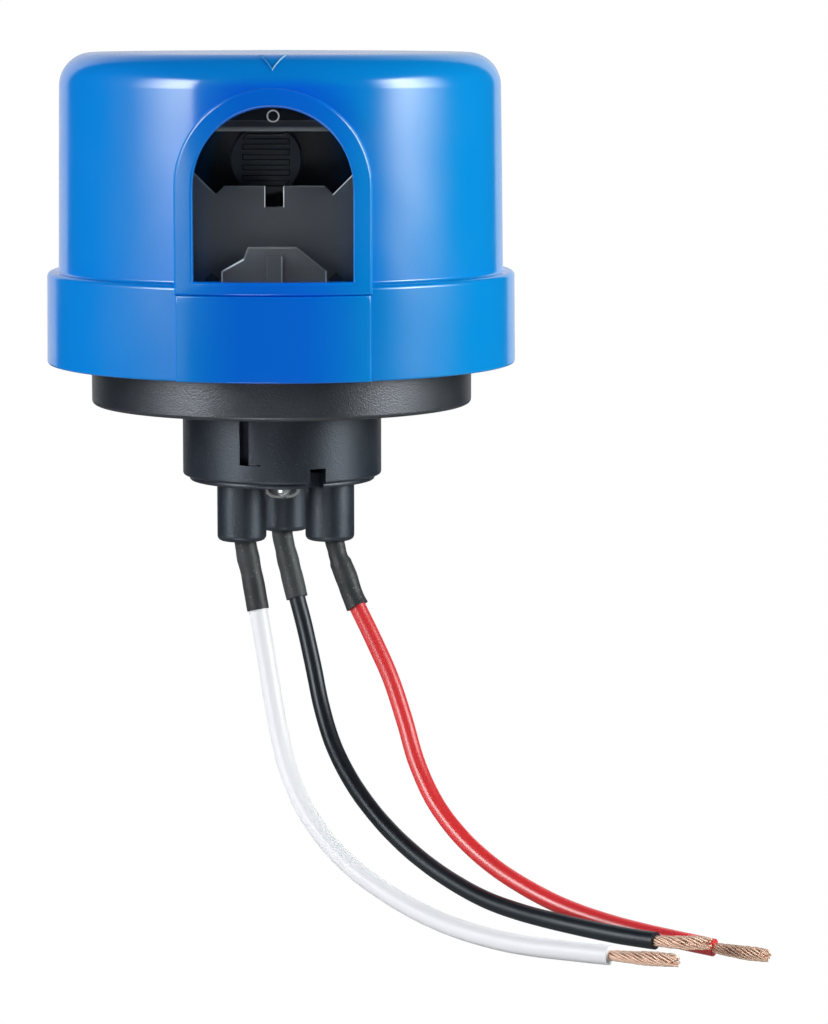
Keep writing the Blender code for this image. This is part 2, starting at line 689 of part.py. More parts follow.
def housing(material):
    """The moulded cap: dome, ledge and skirt in one wall, with its window pad and panel."""
    dome_top_radius = DOME_RADIUS - DOME_DRAFT
    corner_base = DOME_TOP - DOME_CORNER
    inner_corner = DOME_CORNER - DOME_WALL
    ceiling = DOME_TOP - DOME_WALL
    snap = BASE_BOTTOM + SNAP_RISE
    outer = [
        (0.0, DOME_TOP + DOME_CROWN),
        *arc_points((dome_top_radius - DOME_CORNER, corner_base), DOME_CORNER, 90, 0, 6),
        (DOME_RADIUS, LEDGE_TOP),
        *arc_points(
            (SKIRT_RADIUS - SKIRT_DRAFT - LEDGE_EDGE, LEDGE_TOP - LEDGE_EDGE), LEDGE_EDGE, 90, 0, 2
        ),
        (SKIRT_RADIUS, SKIRT_BOTTOM),
    ]
    inner = [
        (SKIRT_INNER, SKIRT_BOTTOM),
        (SKIRT_INNER, snap - 2 * SNAP_HEIGHT),
        (SKIRT_INNER + SNAP_HEIGHT, snap),
        (SKIRT_INNER, snap + 2 * SNAP_HEIGHT),
        (SKIRT_INNER, LEDGE_UNDERSIDE),
        (DOME_INNER, LEDGE_UNDERSIDE),
        *arc_points(
            (dome_top_radius - DOME_WALL - inner_corner, corner_base), inner_corner, 0, 90, 3
        ),
        (0.0, ceiling + DOME_CROWN),
    ]
    bm = bmesh.new()
    add_turned(bm, outer + inner)
    cap = solid("housing", bm, material)

    middle = DOME_RADIUS - DOME_WALL / 2
    pad_bottom = (FRAME_BOTTOM + LEDGE_UNDERSIDE) / 2
    pad = front_ring("window_pad", middle, FRAME_FACE, LEDGE_UNDERSIDE, DOME_TOP)
    combine(pad, arch_tool("pad_outline", FRAME_HALF_WIDTH, pad_bottom), "INTERSECT")
    combine(cap, pad, "UNION")

    skirt_middle = SKIRT_RADIUS - SKIRT_WALL / 2
    panel = front_ring("panel_ring", skirt_middle, PANEL_FACE, SKIRT_BOTTOM, FRAME_BOTTOM)
    panel_sides = [
        (-PANEL_HALF_WIDTH, SKIRT_BOTTOM - GAP), (PANEL_HALF_WIDTH, SKIRT_BOTTOM - GAP),
        (PANEL_HALF_WIDTH, FRAME_BOTTOM + GAP), (-PANEL_HALF_WIDTH, FRAME_BOTTOM + GAP),
    ]
    combine(panel, tool("panel_sides", (add_prism, dict(
        outline=panel_sides, near=-PANEL_FACE - DOME_WALL, far=-DOME_INNER + DOME_CORNER,
    ))), "INTERSECT")
    combine(cap, panel, "UNION")

    rebate = front_ring("rebate_ring", DOME_INNER - DOME_WALL, REBATE_RADIUS, SKIRT_BOTTOM, DOME_TOP)
    margin = PANE_LAP + GAP
    rebate_outline = arch_tool("rebate_outline", OPENING_HALF_WIDTH + margin, SILL - margin)
    combine(rebate, rebate_outline, "INTERSECT")
    combine(cap, rebate, "DIFFERENCE")
    return combine(cap, arch_tool("window_opening", OPENING_HALF_WIDTH, SILL), "DIFFERENCE")


def window_lens(material):
    """The clear pane, bent to the dome and held in the rebate behind the frame."""
    pane = front_ring(
        "window_lens", PANE_FACE_RADIUS - PANE_THICKNESS, PANE_FACE_RADIUS, SKIRT_BOTTOM, DOME_TOP
    )
    pane.data.materials.append(material)
    outline = arch_tool("pane_outline", OPENING_HALF_WIDTH + PANE_LAP, SILL - PANE_LAP)
    return combine(pane, outline, "INTERSECT")


# Photocell: base, gasket and blades
def gasket(material):
    """The foam ring that seals the photocell on the flange."""
    bm = bmesh.new()
    add_turned(
        bm,
        box_outline(
            GASKET_INNER_RADIUS, GASKET_OUTER_RADIUS, GASKET_BOTTOM, GASKET_BOTTOM + GASKET_THICKNESS
        ),
        ring=True,
    )
    return solid("gasket", bm, material)


def base_plate(material):
    """The black disc that snaps into the skirt, with its rim, posts and slots for the blades."""
    snap = BASE_BOTTOM + SNAP_RISE
    bead = SNAP_HEIGHT
    rim_top = LEDGE_UNDERSIDE - GAP
    bm = bmesh.new()
    add_turned(bm, [
        (0.0, BASE_TOP),
        (BASE_RIM_INNER, BASE_TOP),
        (BASE_RIM_INNER, rim_top),
        (BASE_RADIUS, rim_top),
        (BASE_RADIUS, snap + 2 * bead),
        (BASE_RADIUS + bead, snap),
        (BASE_RADIUS, snap - 2 * bead),
        (BASE_RADIUS, BASE_BOTTOM),
        (0.0, BASE_BOTTOM),
    ])
    piece = solid("base_plate", bm, material)

    posts = bmesh.new()
    holes = bmesh.new()
    hole_bottom = PARTS_LEVEL - BOARD_SCREW_LENGTH - GAP
    for angle in POST_ANGLES:
        place = on_circle(POST_CIRCLE, angle)
        add_turned(
            posts, rod(POST_RADIUS, BASE_TOP - BASE_THICKNESS / 2, BASE_TOP + POST_HEIGHT), place,
            segments=20,
        )
        add_turned(
            holes, rod(BOARD_SCREW_RADIUS + GAP, hole_bottom, BASE_TOP + POST_HEIGHT + GAP), place,
            segments=12,
        )
    combine(piece, solid("base_posts", posts), "UNION")
    combine(piece, solid("post_holes", holes), "DIFFERENCE")

    slots = bmesh.new()
    for _, boss_angle, span in POLES:
        blade_centre = blade_angles(boss_angle, span)[0]
        section = box_outline(
            BLADE_INNER - GAP, BLADE_OUTER + GAP, BASE_BOTTOM - BASE_THICKNESS / 2,
            BASE_TOP + BASE_THICKNESS / 2,
        )
        add_arc(slots, section, blade_centre, span + 2 * SLOT_END_CLEARANCE)
        add_turned(
            slots, rod(RIVET_RADIUS + GAP, BASE_BOTTOM - GAP, BASE_TOP + GAP),
            on_circle(RIVET_CIRCLE, blade_centre), segments=12,
        )
    return combine(piece, solid("base_slots", slots), "DIFFERENCE")


def blade(name, boss_angle, span, material):
    """An arc of brass with a foot on the base plate and a hook below the receptacle's face."""
    centre = blade_angles(boss_angle, span)[0]
    foot_top = BLADE_FOOT_BOTTOM + BLADE_FOOT_THICKNESS
    bm = bmesh.new()
    add_arc(bm, box_outline(BLADE_INNER, BLADE_OUTER, BLADE_TIP, foot_top), centre, span)
    piece = solid(name, bm, material)

    foot = tool(name + "_foot", (add_arc, dict(
        outline=box_outline(BLADE_FOOT_INNER, BLADE_CIRCLE, BLADE_FOOT_BOTTOM, foot_top),
        centre=centre, span=math.degrees(BLADE_FOOT_WIDTH / RIVET_CIRCLE),
    )))
    combine(piece, foot, "UNION")

    notch_low = CHAMBER_CEILING - HOOK_CLEARANCE
    notch_high = FLANGE_THICKNESS + HOOK_CLEARANCE
    cuts = bmesh.new()
    add_arc(
        cuts,
        box_outline(BLADE_INNER - BLADE_THICKNESS, BLADE_OUTER + BLADE_THICKNESS, notch_low, notch_high),
        centre - span / 2, 2 * TWIST,
    )
    add_turned(
        cuts, rod(RIVET_RADIUS + GAP, BLADE_FOOT_BOTTOM - GAP, foot_top + GAP),
        on_circle(RIVET_CIRCLE, centre), segments=12,
    )
    return combine(piece, solid(name + "_cuts", cuts), "DIFFERENCE")


def blade_rivet(name, boss_angle, span, material):
    """A rivet through a blade's foot and the base plate."""
    top = BLADE_FOOT_BOTTOM + BLADE_FOOT_THICKNESS + GAP
    bottom = BASE_BOTTOM - GAP
    bm = bmesh.new()
    add_turned(bm, [
        (0.0, top + RIVET_HEAD_HEIGHT),
        (RIVET_RADIUS, top + RIVET_HEAD_HEIGHT),
        (RIVET_HEAD_RADIUS, top),
        (RIVET_RADIUS, top),
        (RIVET_RADIUS, bottom),
        (RIVET_HEAD_RADIUS, bottom),
        (RIVET_RADIUS, bottom - RIVET_HEAD_HEIGHT),
        (0.0, bottom - RIVET_HEAD_HEIGHT),
    ], on_circle(RIVET_CIRCLE, blade_angles(boss_angle, span)[0]), segments=12)
    return solid(name, bm, material)


# Photocell: board and its parts
def on_board(spot):
    """A place in plan from its shares of the board's radius."""
    return (spot[0] * BOARD_RADIUS, spot[1] * BOARD_RADIUS)


def circuit_board(material):
    """The round board, with a clearance hole for each screw."""
    bm = bmesh.new()
    add_turned(bm, rod(BOARD_RADIUS, BOARD_BOTTOM, BOARD_TOP), segments=40)
    piece = solid("circuit_board", bm, material)
    holes = bmesh.new()
    for angle in POST_ANGLES:
        add_turned(
            holes, rod(BOARD_SCREW_RADIUS + GAP, BOARD_BOTTOM - GAP, BOARD_TOP + GAP),
            on_circle(POST_CIRCLE, angle), segments=12,
        )
    return combine(piece, solid("board_holes", holes), "DIFFERENCE")


def board_screw(name, angle, material):
    """A pan-head screw through the board into its post, head up."""
    over = Matrix.Rotation(math.pi, 4, "X")
    bm = bmesh.new()
    pan_screw(
        bm, on_circle(POST_CIRCLE, angle, PARTS_LEVEL) @ over, BOARD_SCREW_RADIUS, BOARD_SCREW_LENGTH,
        BOARD_SCREW_HEAD_RADIUS, BOARD_SCREW_HEAD_HEIGHT, segments=16,
    )
    return solid(name, bm, material)


def case(name, corner, size, material):
    """A moulded box on the board, from its corner nearest -X and -Y."""
    low = Vector((*on_board(corner), PARTS_LEVEL))
    bm = bmesh.new()
    add_block(bm, low, low + Vector(size), edge=CASE_EDGE)
    return solid(name, bm, material)


def relay(material):
    """The sealed relay that switches the load."""
    return case("relay", RELAY_CORNER, RELAY_SIZE, material)


def film_capacitor(material):
    """The mains dropper's box capacitor."""
    return case("film_capacitor", FILM_CORNER, FILM_SIZE, material)


def smoothing_capacitor(material):
    """The round electrolytic can, with its crimp near the foot."""
    waist = CAN_RADIUS - CAN_CRIMP
    bm = bmesh.new()
    add_turned(bm, [
        (0.0, CAN_HEIGHT), (waist, CAN_HEIGHT), (CAN_RADIUS, CAN_HEIGHT - CAN_CRIMP),
        (CAN_RADIUS, CAN_CRIMP_HEIGHT + CAN_CRIMP), (waist, CAN_CRIMP_HEIGHT),
        (CAN_RADIUS, CAN_CRIMP_HEIGHT - CAN_CRIMP), (CAN_RADIUS, 0.0), (0.0, 0.0),
    ], Matrix.Translation((*on_board(CAN_PLACE), PARTS_LEVEL)), segments=24)
    return solid("smoothing_capacitor", bm, material)


def standing_disc(name, centre, radius, thickness, lead_spacing, material, segments=24):
    """A disc on edge, its face towards -Y, on two wire legs that reach down to the board."""
    edge = thickness / 4
    bm = bmesh.new()
    add_turned(bm, [
        (0.0, thickness), (radius - edge, thickness), (radius, thickness - edge),
        (radius, edge), (radius - edge, 0.0), (0.0, 0.0),
    ], Matrix.Translation(centre) @ Matrix.Rotation(math.radians(-90), 4, "X"), segments=segments)
    piece = solid(name, bm, material)
    legs = bmesh.new()
    middle = centre[1] + thickness / 2
    for side in (-1, 1):
        add_turned(
            legs, rod(SENSOR_LEAD_RADIUS, PARTS_LEVEL, centre[2] - radius / 2),
            Matrix.Translation((centre[0] + side * lead_spacing / 2, middle, 0)), segments=8,
        )
    return combine(piece, solid(name + "_legs", legs), "UNION")


def lying_rod(name, spot, radius, length, direction, material):
    """A round part that lies on the board, such as a resistor or a diode."""
    edge = radius / 4
    place = Matrix.Translation((*spot, PARTS_LEVEL + radius))
    bm = bmesh.new()
    add_turned(bm, [
        (0.0, length / 2), (radius - edge, length / 2), (radius, length / 2 - edge),
        (radius, edge - length / 2), (radius - edge, -length / 2), (0.0, -length / 2),
    ], place @ Matrix.Rotation(math.radians(90), 4, direction), segments=12)
    return solid(name, bm, material)


# Photocell: what stands behind the window
def photocell_sensor(material):
    """The light-dependent cell, which looks out through the window."""
    centre = (SENSOR_OFFSET, -(PANE_FACE_RADIUS - SENSOR_FACE_DEPTH), ARCH_CENTRE + SENSOR_RISE)
    return standing_disc(
        "photocell_sensor", centre, SENSOR_RADIUS, SENSOR_THICKNESS, SENSOR_LEAD_SPACING, material,
        segments=32,
    )


def sensor_hood(material):
    """A bracket: wall behind the sensor, roof over it, and a lip with a beaded edge in front."""
    front = -(PANE_FACE_RADIUS - HOOD_FRONT_DEPTH)
    back = -(PANE_FACE_RADIUS - SENSOR_FACE_DEPTH - SENSOR_THICKNESS - HOOD_CLEARANCE)
    roof_bottom = ARCH_CENTRE + SENSOR_RISE + SENSOR_RADIUS + HOOD_CLEARANCE
    roof_top = roof_bottom + HOOD_WALL
    lip_bottom = ARCH_CENTRE + LIP_RISE
    lip_top = lip_bottom + LIP_HEIGHT
    section = [
        (back, PARTS_LEVEL), (back + HOOD_WALL, PARTS_LEVEL), (back + HOOD_WALL, roof_top),
        (front + HOOD_WALL, roof_top), (front + HOOD_WALL, lip_top), (front, lip_top),
        (front, lip_bottom + LIP_BEAD), (front - LIP_BEAD, lip_bottom + LIP_BEAD),
        (front - LIP_BEAD, lip_bottom), (front + HOOD_WALL, lip_bottom),
        (front + HOOD_WALL, roof_bottom), (back, roof_bottom),
    ]
    bm = bmesh.new()
    add_prism(bm, section, -HOOD_HALF_WIDTH, HOOD_HALF_WIDTH, turn(90))
    return solid("sensor_hood", bm, material)


def light_baffle(material):
    """The upright plate in front of the sensor's lower half, notched along its top."""
    front = -(PANE_FACE_RADIUS - BAFFLE_DEPTH)
    top = ARCH_CENTRE + BAFFLE_RISE
    notch = top - BAFFLE_NOTCH_DEPTH
    wing = BAFFLE_HALF_WIDTH - BAFFLE_NOTCH_PLACE
    right = [
        (BAFFLE_SLOT_HALF_WIDTH, top - BAFFLE_SLOT_DEPTH),
        (BAFFLE_SLOT_HALF_WIDTH, top),
        (BAFFLE_NOTCH_PLACE - BAFFLE_NOTCH_DEPTH, top),
        (BAFFLE_NOTCH_PLACE, notch),
        (BAFFLE_HALF_WIDTH, notch + wing),
        (BAFFLE_HALF_WIDTH, PARTS_LEVEL),
    ]
    left = [(-x, z) for x, z in reversed(right)]
    bm = bmesh.new()
    add_prism(bm, right + left, front, front + BAFFLE_THICKNESS)
    return solid("light_baffle", bm, material)


def lens_latch(material):
    """The clear latch at the foot of the window: a trapezoid on a foot that stands on the board."""
    front = -(PANE_FACE_RADIUS - LATCH_DEPTH)
    shoulder = SILL + LATCH_SHOULDER_RISE
    top = SILL + LATCH_TOP_RISE
    right = [
        (LATCH_HALF_WIDTH, PARTS_LEVEL), (LATCH_HALF_WIDTH, shoulder), (LATCH_TOP_HALF_WIDTH, top),
    ]
    left = [(-x, z) for x, z in reversed(right)]
    bm = bmesh.new()
    add_prism(bm, right + left, front, front + LATCH_THICKNESS)
    piece = solid("lens_latch", bm, material)
    foot = tool("latch_foot", (add_block, dict(
        low=(-LATCH_TOP_HALF_WIDTH, front + LATCH_THICKNESS / 2, PARTS_LEVEL),
        high=(LATCH_TOP_HALF_WIDTH, front + LATCH_FOOT_DEPTH, PARTS_LEVEL + LATCH_THICKNESS),
    )))
    return combine(piece, foot, "UNION")


# Build
def build():
    """Make every piece and hang it on the receptacle or on the photocell."""
    blue = paint("blue_gloss_plastic", (0.0, 0.13, 0.56), 0.22)
    clear = paint("smoked_clear_plastic", (0.25, 0.26, 0.28), 0.08, transmission=0.85)
    phenolic = paint("black_moulded_plastic", (0.045, 0.047, 0.052), 0.45)
    inner_black = paint("inner_black_plastic", (0.03, 0.03, 0.033), 0.5)
    foam = paint("grey_foam", (0.09, 0.09, 0.1), 0.9)
    brass = paint("brass", (0.72, 0.5, 0.2), 0.3, metallic=1.0)
    steel = paint("plated_steel", (0.62, 0.62, 0.64), 0.25, metallic=1.0)
    shrink = paint("shrink_sleeve", (0.035, 0.037, 0.04), 0.55)
    copper = paint("bare_copper", (0.78, 0.4, 0.22), 0.35, metallic=1.0)
    insulation = {
        "white": paint("white_insulation", (0.8, 0.81, 0.84), 0.4),
        "black": paint("black_insulation", (0.012, 0.012, 0.014), 0.2),
        "red": paint("red_insulation", (0.72, 0.03, 0.035), 0.35),
    }
    green = paint("board_laminate", (0.03, 0.17, 0.06), 0.45)
    relay_blue = paint("relay_case", (0.02, 0.1, 0.4), 0.4)
    film_yellow = paint("film_case", (0.6, 0.4, 0.05), 0.4)
    can_black = paint("capacitor_sleeve", (0.02, 0.02, 0.05), 0.35)
    disc_blue = paint("coated_disc", (0.03, 0.12, 0.45), 0.5)
    tan = paint("resistor_body", (0.45, 0.3, 0.17), 0.6)
    ceramic = paint("sensor_ceramic", (0.35, 0.33, 0.3), 0.35)

    fixed = [receptacle_body(phenolic), wire_guide(phenolic), guide_screw(steel)]
    fixed += [contact("contact_" + pole, angle, span, brass) for pole, angle, span in POLES]
    fixed += leads(shrink, insulation, copper)

    turning = [housing(blue), window_lens(clear), gasket(foam), base_plate(inner_black)]
    turning += [blade("blade_" + pole, angle, span, brass) for pole, angle, span in POLES]
    turning += [blade_rivet("rivet_" + pole, angle, span, brass) for pole, angle, span in POLES]
    turning.append(circuit_board(green))
    turning += [
        board_screw(f"board_screw_{index}", angle, steel) for index, angle in enumerate(POST_ANGLES, 1)
    ]
    turning += [relay(relay_blue), film_capacitor(film_yellow), smoothing_capacitor(can_black)]
    turning.append(standing_disc(
        "surge_disc", (*on_board(DISC_PLACE), PARTS_LEVEL + DISC_HEIGHT), DISC_RADIUS,
        DISC_THICKNESS, DISC_LEAD_SPACING, disc_blue,
    ))
    turning.append(lying_rod(
        "dropper_resistor", on_board(RESISTOR_PLACE), RESISTOR_RADIUS, RESISTOR_LENGTH, "Y", tan
    ))
    for index in (1, 2, 3):
        spot = (DIODE_SPACING * index, DIODE_ROW * BOARD_RADIUS)
        turning.append(lying_rod(
            f"diode_{index}", spot, DIODE_RADIUS, DIODE_LENGTH, "X", inner_black
        ))
    turning += [
        photocell_sensor(ceramic), sensor_hood(inner_black), light_baffle(inner_black), lens_latch(clear),
    ]

    for name, pieces in (("receptacle", fixed), ("photocell", turning)):
        carrier = bpy.data.objects.new(name, None)
        bpy.context.collection.objects.link(carrier)
        for piece in pieces:
            piece.parent = carrier


for old in list(bpy.data.objects):
    bpy.data.objects.remove(old, do_unlink=True)
build()
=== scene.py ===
# %% [markdown]
# # A photocell switch in its twist-lock receptacle
#
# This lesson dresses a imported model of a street-light photocell. A round blue cap holds the light
# sensor behind an arched window, and twists into a black receptacle with three short leads. The
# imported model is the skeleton: each piece made below sits where it says, in metres.

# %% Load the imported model
import math
import random

import bmesh
import bpy
from mathutils import Matrix, Vector, noise


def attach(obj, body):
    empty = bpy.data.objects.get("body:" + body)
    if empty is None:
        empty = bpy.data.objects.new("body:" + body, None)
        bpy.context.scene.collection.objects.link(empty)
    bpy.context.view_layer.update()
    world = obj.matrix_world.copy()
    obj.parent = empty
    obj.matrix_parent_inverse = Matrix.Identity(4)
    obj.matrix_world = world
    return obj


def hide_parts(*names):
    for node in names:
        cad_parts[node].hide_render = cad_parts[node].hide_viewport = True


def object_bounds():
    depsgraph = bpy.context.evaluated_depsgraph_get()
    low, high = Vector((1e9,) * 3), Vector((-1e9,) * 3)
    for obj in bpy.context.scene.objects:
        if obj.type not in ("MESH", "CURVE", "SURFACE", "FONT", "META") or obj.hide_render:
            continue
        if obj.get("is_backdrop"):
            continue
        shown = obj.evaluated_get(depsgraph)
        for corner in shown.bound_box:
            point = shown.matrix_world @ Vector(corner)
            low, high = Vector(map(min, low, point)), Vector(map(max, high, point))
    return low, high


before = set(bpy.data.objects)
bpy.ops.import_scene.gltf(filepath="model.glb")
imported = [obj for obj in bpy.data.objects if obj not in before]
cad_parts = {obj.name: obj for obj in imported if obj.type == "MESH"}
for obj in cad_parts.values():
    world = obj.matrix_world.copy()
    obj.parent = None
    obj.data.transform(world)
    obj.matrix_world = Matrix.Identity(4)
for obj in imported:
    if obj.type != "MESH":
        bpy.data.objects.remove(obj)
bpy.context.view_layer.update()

# %% [markdown]
# ## The camera
#
# The picture was taken a little to the right of the cap and slightly above it, with a long lens: the
# skirt's foot curves only a little. A long lens about 0.64 m away gives the same curve. A wide lens
# close by could frame the cap as well, but it would bend the skirt far too much.

# %% Camera
def add_object(name, data):
    """Put a camera, mesh, curve or lamp into the scene."""
    piece = bpy.data.objects.new(name, data)
    bpy.context.collection.objects.link(piece)
    return piece


CAMERA_PLACE = (0.02268, -0.640, 0.06654)
CAMERA_DOWN = 7.627
LENS = 131.61
SENSOR = 36.0

camera_data = bpy.data.cameras.new("camera")
camera_data.lens = LENS
camera_data.sensor_width = SENSOR
camera_data.sensor_fit = "AUTO"
camera = add_object("camera", camera_data)
camera.location = CAMERA_PLACE
camera.rotation_euler = (math.radians(90 - CAMERA_DOWN), 0, 0)
bpy.context.scene.camera = camera
print("camera", CAMERA_PLACE, "lens", LENS)

# %% [markdown]
# ## The leads' routes
#
# Three stranded leads leave the bosses, drop, and bend forward to the right. They are short and
# stiff, so they keep that set in the air. A route could be drawn by hand in the viewport, but here
# it has to lie on the model's own leads, so it is the same list of steps from each boss's mouth,
# with the same smooth curve through them.

# %% Routes
BOSS_CIRCLE = 0.0087
BOSS_OFFSET = 0.0005
BOSS_END = -0.02336
BOSS_ANGLES = {"white": 213.0, "black": 93.0, "red": 333.0}
LEAD_START = -0.01430
LEAD_RADII = {"white": 0.0016, "black": 0.00145, "red": 0.00145}
SLEEVE_RADIUS = 0.0019
SLEEVE_LENGTH = 0.0213
BARE_LENGTHS = {"white": 0.0130, "black": 0.0105, "red": 0.0106}
CURVE_STEPS = 24
LEAD_ROUTES = {
    "white": (
        (0.0003, 0.0000, 0.0048), (0.0005, -0.0001, 0.0006), (0.0009, -0.0002, -0.0023),
        (0.0018, -0.0007, -0.0065), (0.0027, -0.0015, -0.0115), (0.0037, -0.0028, -0.0169),
        (0.0049, -0.0047, -0.0239), (0.0062, -0.0071, -0.0308), (0.0079, -0.0101, -0.0374),
        (0.0106, -0.0140, -0.0431), (0.0143, -0.0182, -0.0479), (0.0189, -0.0225, -0.0519),
        (0.0241, -0.0268, -0.0549), (0.0296, -0.0313, -0.0572), (0.0352, -0.0359, -0.0587),
        (0.0408, -0.0407, -0.0594), (0.0466, -0.0453, -0.0596), (0.0525, -0.0497, -0.0593),
        (0.0586, -0.0540, -0.0589), (0.0646, -0.0583, -0.0584), (0.0711, -0.0632, -0.0576),
    ),
    "black": (
        (-0.0002, -0.0002, 0.0048), (-0.0004, -0.0004, 0.0002), (-0.0003, -0.0005, -0.0013),
        (0.0005, -0.0011, -0.0048), (0.0014, -0.0018, -0.0084), (0.0023, -0.0027, -0.0120),
        (0.0035, -0.0039, -0.0164), (0.0051, -0.0061, -0.0232), (0.0066, -0.0088, -0.0299),
        (0.0087, -0.0122, -0.0360), (0.0118, -0.0161, -0.0414), (0.0156, -0.0205, -0.0459),
        (0.0199, -0.0250, -0.0497), (0.0246, -0.0297, -0.0528), (0.0296, -0.0345, -0.0552),
        (0.0348, -0.0394, -0.0569), (0.0403, -0.0442, -0.0578), (0.0459, -0.0489, -0.0582),
        (0.0517, -0.0533, -0.0585), (0.0576, -0.0577, -0.0586), (0.0635, -0.0621, -0.0583),
        (0.0702, -0.0665, -0.0574),
    ),
    "red": (
        (0.0004, -0.0002, 0.0048), (0.0007, -0.0004, 0.0004), (0.0011, -0.0006, -0.0013),
        (0.0015, -0.0008, -0.0030), (0.0029, -0.0015, -0.0065), (0.0042, -0.0022, -0.0101),
        (0.0073, -0.0042, -0.0163), (0.0104, -0.0065, -0.0229), (0.0128, -0.0090, -0.0298),
        (0.0149, -0.0118, -0.0366), (0.0180, -0.0151, -0.0428), (0.0223, -0.0187, -0.0479),
        (0.0275, -0.0227, -0.0519), (0.0332, -0.0270, -0.0548), (0.0391, -0.0313, -0.0569),
        (0.0453, -0.0357, -0.0582), (0.0516, -0.0399, -0.0590), (0.0582, -0.0438, -0.0596),
        (0.0647, -0.0479, -0.0600), (0.0716, -0.0527, -0.0598),
    ),
}


def on_circle(radius, angle, height):
    """A place on a circle round the main axis."""
    turn = math.radians(angle)
    return Vector((radius * math.cos(turn), radius * math.sin(turn), height))


def boss_middle(colour, height=0.0):
    """The middle of a lead's boss: the three sit on one circle, a little right of the main axis."""
    return on_circle(BOSS_CIRCLE, BOSS_ANGLES[colour], height) + Vector((BOSS_OFFSET, 0, 0))


def fine_route(colour):
    """Close points on the smooth curve through a lead's steps."""
    mouth = boss_middle(colour, BOSS_END)
    start = on_circle(BOSS_CIRCLE, BOSS_ANGLES[colour], LEAD_START)
    points = [start] + [mouth + Vector(step) for step in LEAD_ROUTES[colour]]
    knots = [points[0], *points, points[-1]]
    fine = []
    for before, here, there, after in zip(knots, knots[1:], knots[2:], knots[3:]):
        for step in range(CURVE_STEPS):
            t = step / CURVE_STEPS
            fine.append(0.5 * (
                2 * here + (there - before) * t + (2 * before - 5 * here + 4 * there - after) * t ** 2
                + (3 * here - before - 3 * there + after) * t ** 3
            ))
    return fine + [points[-1]]


def stretch(route, first, last, spacing):
    """Evenly spaced points along a route between two distances from its start."""
    count = max(2, round((last - first) / spacing))
    wanted = [first + (last - first) * index / count for index in range(count + 1)]
    places, run = [], 0.0
    for here, there in zip(route, route[1:]):
        side = (there - here).length
        while len(places) <= count and wanted[len(places)] <= run + side + 1e-9:
            places.append(here.lerp(there, min(1.0, max(0.0, (wanted[len(places)] - run) / side))))
        run += side
    return places


def route_length(points):
    """The length of a line through points."""
    return sum((b - a).length for a, b in zip(points, points[1:]))


ROUTES = {colour: fine_route(colour) for colour in LEAD_ROUTES}
for colour, route in ROUTES.items():
    print(colour, "lead is", round(1000 * route_length(route), 1), "mm along its middle")

# %% [markdown]
# ## Insulation and shrink sleeves
#
# Each lead is a round wire in smooth insulation, and its first stretch wears a matte shrink sleeve.
# A tube could be swept as a mesh, but a curve with a round bevel stays editable, and its own line is
# the cord's centreline. The sleeve has shrunk unevenly, so its radius wanders a little, and it is
# pinched where it leaves its boss, most of all on the red lead.

# %% Tubes
PINCHED_POINTS = 14
WANDER_STEP = 0.35


def new_curve(name, rings):
    """A 3D curve that is round, with its radius taken from its points."""
    curve = bpy.data.curves.new(name, "CURVE")
    curve.dimensions = "3D"
    curve.bevel_depth = 1.0
    curve.bevel_resolution = rings
    curve.use_fill_caps = True
    return curve


def add_line(curve, places, radii):
    """Add one open line through places to a curve, with a radius at each."""
    spline = curve.splines.new("POLY")
    spline.points.add(len(places) - 1)
    for point, place, radius in zip(spline.points, places, radii):
        point.co = (*place, 1.0)
        point.radius = radius


def tube(name, points, radius, wobble=0.0, rings=8, seed=0.0, pinch=0.0):
    """A round tube on a curve of one open line, with a radius that may wander or start pinched."""
    radii = []
    for index in range(len(points)):
        wander = wobble * noise.noise(Vector((index * WANDER_STEP, seed, 0.5)))
        narrow = pinch if index < PINCHED_POINTS else 0.0
        radii.append(radius * (1.0 + wander - narrow))
    curve = new_curve(name, rings)
    add_line(curve, points, radii)
    return add_object(name, curve)


LEAD_INSIDE = 0.0040
LEAD_STEP = 0.0012
LEAD_WOBBLE = 0.015
SLEEVE_INSIDE = 0.0020
SLEEVE_STEP = 0.0008
SLEEVE_WOBBLE = 0.06
SLEEVE_SEED = 5.0
PINCHES = {"white": 0.0, "black": 0.03, "red": 0.13}
lead_lines, leads, sleeves = {}, {}, {}
for seed, (colour, route) in enumerate(ROUTES.items()):
    bare = route_length(route) - BARE_LENGTHS[colour]
    lead_lines[colour] = stretch(route, LEAD_INSIDE, bare, LEAD_STEP)
    leads[colour] = tube("wire_" + colour, lead_lines[colour], LEAD_RADII[colour], LEAD_WOBBLE, seed=seed)
    sleeve_line = stretch(route, SLEEVE_INSIDE, SLEEVE_LENGTH, SLEEVE_STEP)
    sleeves[colour] = tube(
        "shrink_sleeve_" + colour, sleeve_line, SLEEVE_RADIUS, SLEEVE_WOBBLE, seed=seed + SLEEVE_SEED,
        pinch=PINCHES[colour],
    )
print("leads and sleeves:", len(leads) + len(sleeves))

# %% [markdown]
# ## Bare strands
#
# The last centimetre is stripped, and its fine copper strands lie round each other in layers with a
# long twist. Where a thumb has rolled them they open a little, then close at the cut. A single
# twisted rod would do from afar, but the light catches each strand, so every one is a thin curve.

# %% Strands
STRAND_RADIUS = 0.00020
STRAND_LAYERS = ((1, 0.0), (5, 0.00036), (10, 0.00065))
STRAND_PITCH = 0.0125
STRAND_STEP = 0.00035
STRAND_SEED = 11
BARE_INSIDE = 0.0015
TIP_BACK = 0.0003
BELLY = 0.42
FLATTENING = 0.35


def across(direction):
    """Two directions square to a line and to each other."""
    side = direction.cross(Vector((0, 0, 1))).normalized()
    return side, side.cross(direction).normalized()


